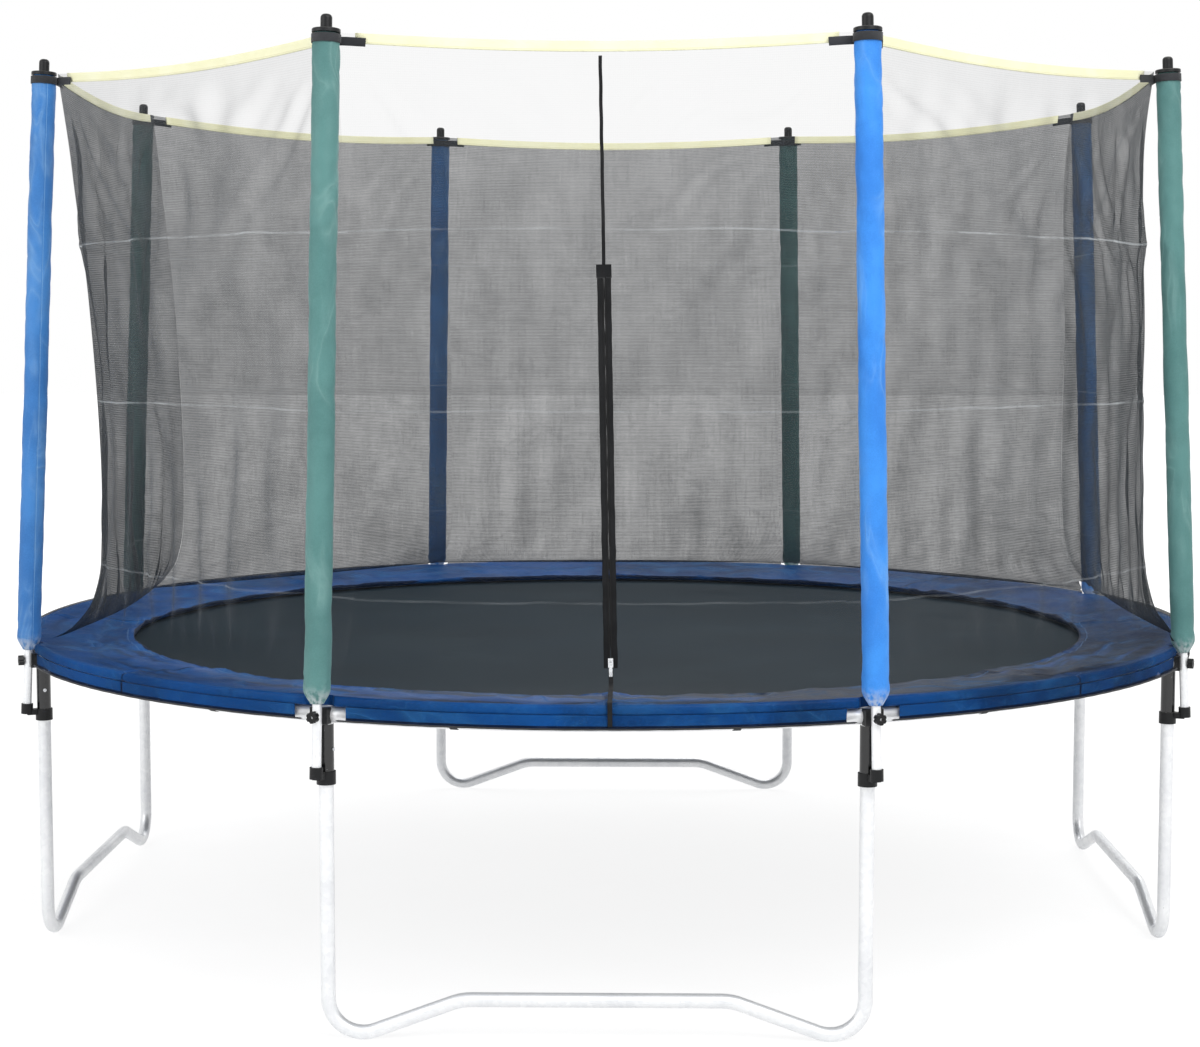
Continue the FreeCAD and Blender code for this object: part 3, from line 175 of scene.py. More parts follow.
def grid_patch(points: np.ndarray, u: np.ndarray, v: np.ndarray, wrap: bool = False,
               flip: bool = False) -> Patch:
    """Join a grid of points into quads. The outside is where columns x rows points.

    Args:
        points: an array of rows, columns and 3.
        u: texture coordinate of each column, one more than the columns where they wrap, or of
            each grid point.
        v: texture coordinate of each row, or of each grid point.
        wrap: whether the last column joins the first.
        flip: whether to turn the faces over.

    Returns:
        The patch.
    """
    rows, columns = points.shape[:2]
    across = columns if wrap else columns - 1
    row, column = np.meshgrid(np.arange(rows - 1), np.arange(across), indexing="ij")
    nearby = (column + 1) % columns
    order = [row * columns + column, row * columns + nearby,
             (row + 1) * columns + nearby, (row + 1) * columns + column]
    if u.ndim == 1:
        u = np.broadcast_to(u, (rows, len(u)))
    if v.ndim == 1:
        v = np.broadcast_to(v[:, None], (rows, u.shape[1]))
    where = np.stack([u, v], axis=-1)
    ends = [where[row, column], where[row, column + 1],
            where[row + 1, column + 1], where[row + 1, column]]
    if flip:
        order, ends = order[::-1], ends[::-1]
    faces = np.stack(order, axis=-1).reshape(-1, 4)
    return Patch(points.reshape(-1, 3), faces, np.stack(ends, axis=-2).reshape(-1, 4, 2))


def carry(profile: np.ndarray, centres: np.ndarray, sides: np.ndarray, ups: np.ndarray | None = None,
          capped: bool = True) -> Patch:
    """Carry a closed profile along a path: point = centre + x * side + y * up.

    Args:
        profile: the closed outline, anticlockwise as seen against the path's direction.
        centres: the path's points.
        sides: the unit vector of the outline's x, at each point or for all.
        ups: the unit vector of the outline's y, so that side x up follows the path. Without it,
            up = flow x side.
        capped: whether both ends are closed.

    Returns:
        The patch, with u round the outline and v along the path, in metres.
    """
    sides = np.broadcast_to(sides, centres.shape)
    ups = np.cross(flow_of(centres), sides) if ups is None else np.broadcast_to(ups, centres.shape)
    body = (centres[:, None, :] + profile[None, :, 0, None] * sides[:, None, :]
            + profile[None, :, 1, None] * ups[:, None, :])
    u, v = run_along(np.vstack([profile, profile[:1]])), run_along(centres)
    if capped:
        body, v = closed_ends(body), np.concatenate([[v[0]], v, [v[-1]]])
    return grid_patch(body, u, v, wrap=True)


def round_outline(radius: float, sides: int) -> np.ndarray:
    """A circle of the given radius as a closed outline."""
    turn = np.arange(sides) * TAU / sides
    return np.stack([radius * np.cos(turn), radius * np.sin(turn)], axis=-1)


def strap_outline(width: float, thick: float) -> np.ndarray:
    """A flat strap's section: a long box whose two narrow sides are rounded."""
    x, y, soft = width / 2, thick / 2, min(thick, width) * 0.35
    return np.array([(x - soft, -y), (x, -y + soft * 0.6), (x, y - soft * 0.6), (x - soft, y),
                     (0.0, y), (soft - x, y), (-x, y - soft * 0.6), (-x, -y + soft * 0.6),
                     (soft - x, -y), (0.0, -y)])


def make_piece(name: str, patches: list[Patch], finishes: list[bpy.types.Material],
               sharp: float = 50.0, weld: bool = False) -> bpy.types.Object:
    """Put patches into one mesh object at the origin, with a UV map in metres.

    Args:
        name: the piece's name.
        patches: its surfaces.
        finishes: its materials, in slot order.
        sharp: edges that bend more than this many degrees stay crisp.
        weld: whether points that coincide are merged.

    Returns:
        The object, linked to the scene.
    """
    starts = np.cumsum([0] + [len(patch.points) for patch in patches])
    points = np.concatenate([patch.points for patch in patches])
    faces = np.concatenate([patch.faces + start for patch, start in zip(patches, starts)])
    corners = np.concatenate([patch.corners for patch in patches]).astype(np.float32)
    slots = np.concatenate([np.full(len(patch.faces), patch.slot, np.int32) for patch in patches])
    mesh = bpy.data.meshes.new(name)
    mesh.from_pydata(points.tolist(), [], faces.tolist())
    mesh.uv_layers.new(name="UVMap").data.foreach_set("uv", corners.ravel())
    for finish in finishes:
        mesh.materials.append(finish)
    mesh.polygons.foreach_set("material_index", slots)
    if weld:
        work = bmesh.new()
        work.from_mesh(mesh)
        bmesh.ops.remove_doubles(work, verts=work.verts, dist=2e-6)
        work.to_mesh(mesh)
        work.free()
    mesh.validate()
    mesh.shade_smooth()
    mesh.set_sharp_from_angle(angle=math.radians(sharp))
    piece = bpy.data.objects.new(name, mesh)
    bpy.context.scene.collection.objects.link(piece)
    return piece


def mark(piece: bpy.types.Object, name: str, values: np.ndarray) -> None:
    """Store one number a point on a piece, for its material to read."""
    layer = piece.data.attributes.new(name, "FLOAT", "POINT")
    layer.data.foreach_set("value", values.astype(np.float32))


def settle(piece: bpy.types.Object, body: str, slot: str, *nodes: str) -> bpy.types.Object:
    """Hang a finished piece on its body and hide the nodes it stands for.

    Args:
        piece: the finished piece.
        body: the body that it rides on.
        slot: not used.
        *nodes: the nodes that it replaces.

    Returns:
        The piece.
    """
    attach(piece, body)
    if nodes:
        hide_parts(*nodes)
    LOG.info("%s: %d faces on %s", piece.name, len(piece.data.polygons), body)
    return piece


# ---------------------------------------------------------------- shading


Input = object
Looks = dict[str, Input]


class Signal:
    """A node's output that takes plain arithmetic. Each step of it is one Math node."""

    def __init__(self, wiring: "Wiring", socket: bpy.types.NodeSocket) -> None:
        """Remember the output and its tree's wiring."""
        self.wiring, self.socket = wiring, socket

    def __add__(self, other: Input) -> "Signal":
        """self + other."""
        return self.wiring.math("ADD", self, other)

    def __mul__(self, other: Input) -> "Signal":
        """self * other."""
        return self.wiring.math("MULTIPLY", self, other)

    def __sub__(self, other: Input) -> "Signal":
        """self - other."""
        return self.wiring.math("SUBTRACT", self, other)

    def __rsub__(self, other: Input) -> "Signal":
        """other - self."""
        return self.wiring.math("SUBTRACT", other, self)

    def __truediv__(self, other: Input) -> "Signal":
        """self / other."""
        return self.wiring.math("DIVIDE", self, other)

    def __pow__(self, other: Input) -> "Signal":
        """self to the power of other."""
        return self.wiring.math("POWER", self, other)

    def __abs__(self) -> "Signal":
        """self without its sign."""
        return self.wiring.math("ABSOLUTE", self)


class Wiring:
    """Adds nodes to one node tree and joins them."""

    def __init__(self, tree: bpy.types.NodeTree) -> None:
        """Remember the tree."""
        self.tree = tree

    def feed(self, node: bpy.types.Node, inputs: dict[str | int, Input]) -> None:
        """Link a signal into each input, or set the input's plain value.

        Args:
            node: the node.
            inputs: signals, numbers or tuples by input name or index.
        """
        for key, value in inputs.items():
            if isinstance(value, Signal):
                self.tree.links.new(value.socket, node.inputs[key])
            elif value is not None:
                node.inputs[key].default_value = value

    def node(self, kind: str, inputs: dict[str | int, Input] | None = None, **settings: object
             ) -> dict[str | int, Signal]:
        """Add a node.

        Args:
            kind: the node's type, without its first word.
            inputs: values or signals by input name or index.
            **settings: the node's own settings.

        Returns:
            Its outputs, by name and by index.
        """
        made = self.tree.nodes.new("ShaderNode" + kind)
        for name, setting in settings.items():
            setattr(made, name, setting)
        self.feed(made, inputs or {})
        outputs = [Signal(self, socket) for socket in made.outputs]
        return dict(enumerate(outputs)) | {signal.socket.name: signal for signal in outputs}

    def end(self, kind: str, surface: Signal) -> None:
        """Add an output node and give it its surface."""
        self.feed(self.tree.nodes.new("ShaderNodeOutput" + kind), {"Surface": surface})

    def math(self, operation: str, first: Input, second: Input = None, clamp: bool = False) -> Signal:
        """One step of arithmetic, held within 0 and 1 where clamp is true."""
        return self.node("Math", {0: first, 1: second}, operation=operation, use_clamp=clamp)[0]

    def most(self, first: Input, second: Input) -> Signal:
        """The larger of two values."""
        return self.math("MAXIMUM", first, second)

    def span(self, value: Input, low: Input, high: Input, start: Input = 0.0, end: Input = 1.0,
             soft: bool = True) -> Signal:
        """Map a value from low..high to start..end, held at both ends and eased where soft is true."""
        kind = "SMOOTHSTEP" if soft else "LINEAR"
        return self.node("MapRange", {0: value, 1: low, 2: high, 3: start, 4: end},
                         interpolation_type=kind, clamp=True)[0]

    def mix(self, share: Input, first: Input, second: Input) -> Signal:
        """Mix two colours, by the share of the second."""
        return self.node("Mix", {0: share, 6: first, 7: second}, data_type="RGBA")[2]

    def noise(self, vector: Input, scale: Input, detail: float = 3.0, rough: float = 0.5,
              twist: float = 0.0) -> Signal:
        """Soft random values about a half.

        Args:
            vector: where to look.
            scale: cells per metre.
            detail: octaves.
            rough: how strong the fine octaves are.
            twist: distortion.

        Returns:
            The value.
        """
        return self.node("TexNoise", {"Vector": vector, "Scale": scale, "Detail": detail,
                                      "Roughness": rough, "Distortion": twist})[0]

    def stretch(self, vector: Input, x: float, y: float, z: float = 1.0) -> Signal:
        """Scale a vector on each axis."""
        return self.node("VectorMath", {0: vector, 1: (x, y, z)}, operation="MULTIPLY")[0]

    def axes(self, vector: Input) -> list[Signal]:
        """Split a vector into its three numbers."""
        parts = self.node("SeparateXYZ", {0: vector})
        return [parts[0], parts[1], parts[2]]

    def place(self, source: str) -> Signal:
        """Object coordinates or the piece's own UV map."""
        return self.node("TexCoord")[source]

    def upward(self) -> Signal:
        """How far a surface looks up, from -1 to 1."""
        return self.axes(self.node("NewGeometry")["Normal"])[2]

    def away(self, x: Signal, y: Signal) -> Signal:
        """The distance sqrt(x*x + y*y)."""
        return self.math("SQRT", x * x + y * y)

    def bump(self, height: Input, strength: float, depth: float, normal: Input = None) -> Signal:
        """Turn a height, in units of depth, into a normal, on top of the normal that is given."""
        return self.node("Bump", {"Height": height, "Strength": strength, "Distance": depth,
                                  "Normal": normal})[0]


class Effect(Enum):
    """The shared effects, each a shader node group."""

    WEAVE = "plain_weave"
    MOTTLE = "cloth_mottle"
    CREASES = "cloth_creases"
    STITCHES = "stitch_row"
    DUST = "settled_dust"


class Effects:
    """Builds each shared effect once and places it in a material's tree."""

    def __init__(self) -> None:
        """Start with no group built."""
        self.built: dict[Effect, bpy.types.NodeTree] = {}
        self.recipes = {Effect.WEAVE: ({"Pitch": 0.002, "Slack": 0.15}, self.weave),
                        Effect.MOTTLE: ({"Scale": 4.0, "Speckle": 0.3}, self.mottle),
                        Effect.CREASES: ({"Scale": 5.0, "Sharpness": 6.0}, self.creases),
                        Effect.STITCHES: ({"Across": 0.0, "Along": 0.0, "Pitch": 0.006, "Width": 0.0012},
                                          self.stitches),
                        Effect.DUST: ({"Up": 0.0, "Amount": 0.2}, self.dust)}

    def place(self, wiring: Wiring, effect: Effect, **values: Input) -> dict[str | int, Signal]:
        """Place an effect in a tree.

        Args:
            wiring: the material's wiring.
            effect: which effect.
            **values: its inputs.

        Returns:
            Its outputs by name.
        """
        if effect not in self.built:
            self.built[effect] = self.build(effect)
        return wiring.node("Group", values, node_tree=self.built[effect])

    def build(self, effect: Effect) -> bpy.types.NodeTree:
        """Make an effect's group: a Vector and numbers go in, numbers come out.

        Args:
            effect: which effect.

        Returns:
            The group.
        """
        inputs, recipe = self.recipes[effect]
        tree = bpy.data.node_groups.new(effect.value, "ShaderNodeTree")
        tree.interface.new_socket(name="Vector", in_out="INPUT", socket_type="NodeSocketVector")
        for name, value in inputs.items():
            tree.interface.new_socket(name=name, in_out="INPUT",
                                      socket_type="NodeSocketFloat").default_value = value
        wiring = Wiring(tree)
        entry = tree.nodes.new("NodeGroupInput")
        results = recipe(wiring, {socket.name: Signal(wiring, socket) for socket in entry.outputs})
        for name in results:
            tree.interface.new_socket(name=name, in_out="OUTPUT", socket_type="NodeSocketFloat")
        wiring.feed(tree.nodes.new("NodeGroupOutput"), results)
        return tree

    def weave(self, w: Wiring, given: dict[str, Signal]) -> Looks:
        """Plain weave: warp and weft ridges |sin| that take turns on top, by sin(u) * sin(v).

        Args:
            w: the group's wiring.
            given: its inputs.

        Returns:
            Its outputs.
        """
        drift = (w.noise(given["Vector"], 30.0, 2.0) - 0.5) * given["Slack"] * 6.0
        rate = w.math("DIVIDE", math.pi, given["Pitch"])
        a, b = (w.math("SINE", axis * rate + drift) for axis in w.axes(given["Vector"])[:2])
        turn = w.math("GREATER_THAN", a * b, 0.0)
        return {"Height": (abs(a) * turn + abs(b) * (1.0 - turn)) ** 0.6, "Warp": turn}

    def mottle(self, w: Wiring, given: dict[str, Signal]) -> Looks:
        """Slow colour change over fine speckle, about a half.

        Args:
            w: the group's wiring.
            given: its inputs.

        Returns:
            Its outputs.
        """
        slow = w.noise(given["Vector"], given["Scale"], 3.0, 0.55, 0.4)
        fine = w.noise(given["Vector"], given["Scale"] * 60.0, 2.0)
        return {"Value": w.span(slow + (fine - 0.5) * given["Speckle"], 0.28, 0.72)}

    def creases(self, w: Wiring, given: dict[str, Signal]) -> Looks:
        """Thin random folds: 1 - |2n - 1| of a twisted noise, sharpened, fading in patches.

        Args:
            w: the group's wiring.
            given: its inputs.

        Returns:
            Its outputs.
        """
        base = w.noise(given["Vector"], given["Scale"], 2.0, 0.45, 1.2)
        patch = w.span(w.noise(given["Vector"], given["Scale"] * 0.6, 1.0), 0.4, 0.62)
        faded = (1.0 - abs(base * 2.0 - 1.0)) ** given["Sharpness"] * patch
        return {"Height": faded + base * 0.5, "Line": faded}

    def stitches(self, w: Wiring, given: dict[str, Signal]) -> Looks:
        """A dashed row: inside a narrow strip across, |sin| along above a level.

        Args:
            w: the group's wiring.
            given: its inputs.

        Returns:
            Its outputs.
        """
        off = abs(given["Across"])
        strip = w.span(off, given["Width"], given["Width"] * 0.55)
        beat = abs(w.math("SINE", given["Along"] * math.pi / given["Pitch"]))
        return {"Mask": strip * w.span(beat, 0.3, 0.5), "Groove": w.span(off, given["Width"] * 3.2, 0.0)}

    def dust(self, w: Wiring, given: dict[str, Signal]) -> Looks:
        """Dust where a surface looks up, broken by noise. Up is the normal's height, from -1 to 1.

        Args:
            w: the group's wiring.
            given: its inputs.

        Returns:
            Its outputs.
        """
        broken = w.span(w.noise(given["Vector"], 9.0, 5.0, 0.65), 0.35, 0.75)
        return {"Mask": w.span(given["Up"], 0.2, 1.0) * broken * given["Amount"]}


EFFECTS = Effects()
MADE: dict[str, bpy.types.Material] = {}


def fresh_wiring(holder: bpy.types.Material | bpy.types.World) -> Wiring:
    """Empty a material's or world's node tree and wrap it."""
    holder.use_nodes = True
    holder.node_tree.nodes.clear()
    return Wiring(holder.node_tree)


@dataclass(frozen=True)
class Finish:
    """A named surface finish. Its material is made once by make()."""

    name: str

    def looks(self, w: Wiring) -> Looks:
        """The shader's inputs. Each finish has its own."""
        return {}

    def make(self) -> bpy.types.Material:
        """Make the material, or give back the one that is already there.

        Returns:
            The material.
        """
        if self.name not in MADE:
            material = bpy.data.materials.new(self.name)
            w = fresh_wiring(material)
            w.end("Material", w.node("BsdfPrincipled", self.looks(w))["BSDF"])
            MADE[self.name] = material
        return MADE[self.name]


@dataclass(frozen=True)
class GalvanisedTube(Finish):
    """Hot-dip zinc on steel tube: pale spangle cells, dull clouds and fine drawn streaks."""

    pale: Colour = linear(250, 251, 252)
    dull: Colour = linear(212, 215, 220)
    metallic: float = 0.42
    painted: bool = False
    paint_low: float = 0.700
    paint_high: float = 0.8265
    paint: Colour = linear(13, 14, 16)

    def looks(self, w: Wiring) -> Looks:
        """Cells of 12 mm vary the tone and gloss; the socket stubs wear glossy black paint.

        Args:
            w: the material's wiring.

        Returns:
            The shader's inputs.
        """
        where = w.place("Object")
        cell = w.node("TexVoronoi", {"Vector": where, "Scale": 85.0})
        tone = w.axes(cell["Color"])[0]
        cloud = w.span(w.noise(where, 7.0, 4.0, 0.6), 0.35, 0.7)
        streak = w.noise(w.stretch(where, 260.0, 260.0, 14.0), 1.0, 2.0)
        colour = w.mix((cloud * 0.5 + tone * 0.35) * 0.6, self.pale, self.dull)
        rough = w.span(tone * 0.5 + streak * 0.5, 0.1, 0.9, 0.26, 0.46, soft=False)
        looks: Looks = {"Metallic": self.metallic,
                        "Normal": w.bump(streak * 0.6 + cell["Distance"], 0.12, 0.0004)}
        if self.painted:
            level = w.axes(where)[2] + (w.noise(where, 120.0, 2.0) - 0.5) * 0.004
            coat = (w.span(level, self.paint_high, self.paint_high - 0.0015)
                    * w.span(level, self.paint_low - 0.02, self.paint_low - 0.01))
            coat = coat * (1.0 - w.span(w.noise(where, 60.0, 5.0, 0.7), 0.70, 0.74) * 0.8)
            colour = w.mix(coat, colour, self.paint)
            rough = rough * w.span(coat, 0.0, 1.0, 1.0, 0.5)
            looks |= {"Metallic": w.span(coat, 0.0, 1.0, self.metallic, 0.0),
                      "Coat Weight": coat * 0.35, "Coat Roughness": 0.06}
        return looks | {"Base Color": colour, "Roughness": rough}


@dataclass(frozen=True)
class PlatedSteel(Finish):
    """Bright zinc plate on wire and small parts, with darker rubbed spots."""

    bright: Colour = linear(226, 228, 231)
    dark: Colour = linear(128, 131, 137)
    rough: float = 0.28

    def looks(self, w: Wiring) -> Looks:
        """Fine scratches and clouds change the tone and the gloss.

        Args:
            w: the material's wiring.

        Returns:
            The shader's inputs.
        """
        where = w.place("Object")
        cloud = w.span(w.noise(where, 60.0, 4.0, 0.65), 0.4, 0.75)
        scratch = w.noise(w.stretch(where, 900.0, 90.0, 300.0), 1.0, 3.0)
        return {"Base Color": w.mix(cloud * 0.7, self.bright, self.dark), "Metallic": 0.9,
                "Roughness": w.span(scratch, 0.2, 0.8, self.rough - 0.08, self.rough + 0.16),
                "Normal": w.bump(scratch, 0.15, 0.0002)}


@dataclass(frozen=True)
class MouldedPlastic(Finish):
    """Black injection-moulded plastic with a fine spark-eroded grain and greyed rubbed spots."""

    colour: Colour = linear(16, 17, 19)
    rubbed: Colour = linear(64, 66, 70)
    settled: Colour = linear(150, 148, 143)
    rough: float = 0.4

    def looks(self, w: Wiring) -> Looks:
        """Grain of a third of a millimetre, dust on top faces, scuffs in patches.

        Args:
            w: the material's wiring.

        Returns:
            The shader's inputs.
        """
        where = w.place("Object")
        scuff = w.span(w.noise(where, 55.0, 6.0, 0.7, 0.6), 0.56, 0.70)
        dust = EFFECTS.place(w, Effect.DUST, Vector=where, Up=w.upward(), Amount=0.35)["Mask"]
        return {"Base Color": w.mix(dust, w.mix(scuff * 0.35, self.colour, self.rubbed), self.settled),
                "Roughness": w.span(scuff + dust, 0.0, 1.0, self.rough, 0.65), "Specular IOR Level": 0.28,
                "Normal": w.bump(w.noise(where, 2600.0, 2.0), 0.2, 0.0003)}


@dataclass(frozen=True)
class SleeveCloth(Finish):
    """Coated sleeve cloth over foam: fine weave, lengthwise creases, one sewn seam."""

    colour: Colour = linear(92, 140, 137)
    shade: Colour = linear(66, 108, 107)
    faded: Colour = linear(142, 180, 176)
    rubbed: Colour = linear(226, 232, 236)
    seam_at: float = 0.004
    foot: float = 0.055

    def looks(self, w: Wiring) -> Looks:
        """UV u runs round the sleeve and v up it, in metres.

        Args:
            w: the material's wiring.

        Returns:
            The shader's inputs.
        """
        uv = w.place("UV")
        u, v, _ = w.axes(uv)
        weave = EFFECTS.place(w, Effect.WEAVE, Vector=uv, Pitch=0.0011, Slack=0.4)["Height"]
        mottle = EFFECTS.place(w, Effect.MOTTLE, Vector=w.place("Object"), Scale=5.0, Speckle=0.35)["Value"]
        folds = EFFECTS.place(w, Effect.CREASES, Vector=w.stretch(uv, 2.4, 0.8), Scale=5.5, Sharpness=9.0)
        row = EFFECTS.place(w, Effect.STITCHES, Across=u - self.seam_at, Along=v, Pitch=0.0032, Width=0.0007)
        colour = w.mix(mottle * 0.55, self.colour, self.shade)
        colour = w.mix(folds["Line"] * 0.35, colour, self.faded)
        colour = w.mix((1.0 - weave) * 0.22, colour, self.shade)
        worn = w.span(v, self.foot, 0.0) * w.span(w.noise(uv, 60.0, 4.0), 0.35, 0.6)
        colour = w.mix(worn * 0.6, colour, self.rubbed)
        fine = w.bump(weave, 0.22, 0.0003)
        groove = w.bump(1.0 - row["Groove"], 0.6, 0.0009, fine)
        return {"Base Color": w.mix(row["Mask"], colour, self.faded), "Sheen Weight": 0.08,
                "Roughness": w.span(mottle, 0.0, 1.0, 0.52, 0.68), "Sheen Roughness": 0.5,
                "Specular IOR Level": 0.3, "Normal": w.bump(folds["Height"], 0.35, 0.004, groove)}


@dataclass(frozen=True)
class PadVinyl(Finish):
    """Coated tarpaulin over foam: scrim cloth pressed through, creases, sewn edges, painted shade and painted
    highlights.
    """

    colour: Colour = linear(8, 78, 150)
    # the darker blue of the random mottle and of the painted shade
    deep_tone_and_shade: Colour = linear(2, 22, 48)
    # the paler blue painted on crease crests as a highlight
    worn: Colour = linear(48, 114, 170)
    # navy of the hem binding and the seams, also painted on the inner side as shade
    edge: Colour = linear(10, 22, 46)
    settled: Colour = linear(110, 132, 158)
    sewing: Colour = linear(96, 138, 186)
    rows_at: tuple[float, float] = (1.534, 1.8185)

    def looks(self, w: Wiring) -> Looks:
        """UV u runs round the ring and v across it from the inner lower edge, in metres.

        Args:
            w: the material's wiring.

        Returns:
            The shader's inputs.
        """
        where, uv = w.place("Object"), w.place("UV")
        x, y, z = w.axes(where)
        radius = w.away(x, y)
        scrim = EFFECTS.place(w, Effect.WEAVE, Vector=uv, Pitch=0.0021, Slack=0.25)["Height"]
        mottle = EFFECTS.place(w, Effect.MOTTLE, Vector=where, Scale=2.6, Speckle=0.25)["Value"]
        folds = EFFECTS.place(w, Effect.CREASES, Vector=w.stretch(uv, 1.0, 1.7), Scale=3.4, Sharpness=8.0)
        tiny = EFFECTS.place(w, Effect.CREASES, Vector=uv, Scale=16.0, Sharpness=10.0)
        dust = EFFECTS.place(w, Effect.DUST, Vector=where, Up=w.upward(), Amount=0.10)["Mask"]
        # Painted shade: long dark bands round the ring stand for the shade of its folds. There are more of
        # them towards +X, and they are strongest on the inner part of the top and towards the front (-Y).
        band = w.noise(w.stretch(uv, 0.9, 11.0), 1.0, 3.0, 0.55) + w.span(x, -0.6, 1.0, -0.01, 0.13)
        inner_front_shade = w.span(radius, 1.815, 1.76) * w.span(y, 0.9, -1.2, 0.30, 0.92)
        shade = w.most(mottle * 0.60, w.span(band, 0.40, 0.60) * inner_front_shade)
        # Painted shade across the whole pad: darker towards +X and paler towards -X, as if lit from -X.
        shade = w.math("ADD", shade, w.span(x, -1.5, 1.5, -0.14, 0.20), clamp=True)
        crest = w.most(folds["Line"], tiny["Line"] * 0.6)
        # Painted highlight: the crests of creases turn to the paler blue.
        colour = w.mix(crest * 0.40, w.mix(shade, self.colour, self.deep_tone_and_shade), self.worn)
        # The skirt's lower hem is a navy binding; the inner rounded side is painted the same dark navy as
        # shade.
        hem_trim_and_inner_shade = w.most(w.span(z, 0.8490, 0.8470), w.span(radius, 1.5165, 1.5145))
        colour = w.mix(hem_trim_and_inner_shade * 0.92, w.mix(dust, colour, self.settled), self.edge)
        rows = [EFFECTS.place(w, Effect.STITCHES, Across=radius - at, Along=w.axes(uv)[0],
                              Pitch=0.006, Width=0.0011) for at in self.rows_at]
        colour = w.mix(w.most(rows[0]["Mask"], rows[1]["Mask"]) * 0.8, colour, self.sewing)
        seam = w.node("Attribute", attribute_name="seam")["Fac"]
        sewn = w.bump(1.0 - (rows[0]["Groove"] + rows[1]["Groove"]), 0.5, 0.0014,
                      w.bump(scrim, 0.16, 0.0004))
        return {"Base Color": w.mix(w.span(seam, 0.55, 0.95), colour, self.edge),
                "Roughness": w.span(crest + dust, 0.0, 0.8, 0.42, 0.62), "Specular IOR Level": 0.14,
                "Normal": w.bump(folds["Height"], 0.4, 0.007, w.bump(tiny["Height"], 0.3, 0.002, sewn))}


@dataclass(frozen=True)
class MatCloth(Finish):
    """Tightly woven black mat cloth with sewn rows near its edge."""

    colour: Colour = linear(13, 26, 33)
    shine: Colour = linear(25, 51, 66)
    trodden: Colour = linear(58, 76, 84)
    sewing: Colour = linear(120, 124, 128)
    rim: float = 1.590
    insets: tuple[float, float] = (0.052, 0.060)

    def looks(self, w: Wiring) -> Looks:
        """The weave follows the cloth's own two directions, which are X and Y.

        Args:
            w: the material's wiring.

        Returns:
            The shader's inputs.
        """
        where = w.place("Object")
        x, y, _ = w.axes(where)
        radius, around = w.away(x, y), w.math("ARCTAN2", y, x) * self.rim
        weave = EFFECTS.place(w, Effect.WEAVE, Vector=where, Pitch=0.0024, Slack=0.2)
        mottle = EFFECTS.place(w, Effect.MOTTLE, Vector=where, Scale=1.7, Speckle=0.5)["Value"]
        tread = w.span(w.noise(where, 3.0, 4.0, 0.6), 0.45, 0.75, 0.0, 0.5)
        rows = [EFFECTS.place(w, Effect.STITCHES, Across=radius - (self.rim - inset), Along=around,
                              Pitch=0.007, Width=0.0011)["Mask"] for inset in self.insets]
        colour = w.mix(weave["Height"] * 0.5, self.colour, self.shine)
        colour = w.mix(mottle * 0.35, colour, self.colour)
        colour = w.mix(tread * 0.30, colour, self.trodden)
        return {"Base Color": w.mix(w.most(rows[0], rows[1]), colour, self.sewing),
                "Roughness": w.span(weave["Warp"], 0.0, 1.0, 0.62, 0.76), "Specular IOR Level": 0.12,
                "Normal": w.bump(weave["Height"], 0.45, 0.0007)}


@dataclass(frozen=True)
class Webbing(Finish):
    """Ribbed webbing: fine ribs across and a mottled thread."""

    colour: Colour = linear(30, 31, 34)
    thread: Colour = linear(84, 86, 90)
    pitch: float = 0.0016
    sheen: float = 0.12

    def looks(self, w: Wiring) -> Looks:
        """UV u runs across the strap and v along it, in metres.

        Args:
            w: the material's wiring.

        Returns:
            The shader's inputs.
        """
        weave = EFFECTS.place(w, Effect.WEAVE, Vector=w.stretch(w.place("UV"), 1.0, 1.7), Pitch=self.pitch,
                              Slack=0.1)["Height"]
        mottle = EFFECTS.place(w, Effect.MOTTLE, Vector=w.place("Object"), Scale=12.0, Speckle=0.5)["Value"]
        colour = w.mix(weave * 0.5, self.colour, self.thread)
        return {"Base Color": w.mix(mottle * 0.4, colour, self.colour), "Sheen Weight": self.sheen,
                "Roughness": w.span(mottle, 0.0, 1.0, 0.62, 0.8), "Specular IOR Level": 0.2,
                "Normal": w.bump(weave, 0.5, 0.0005)}


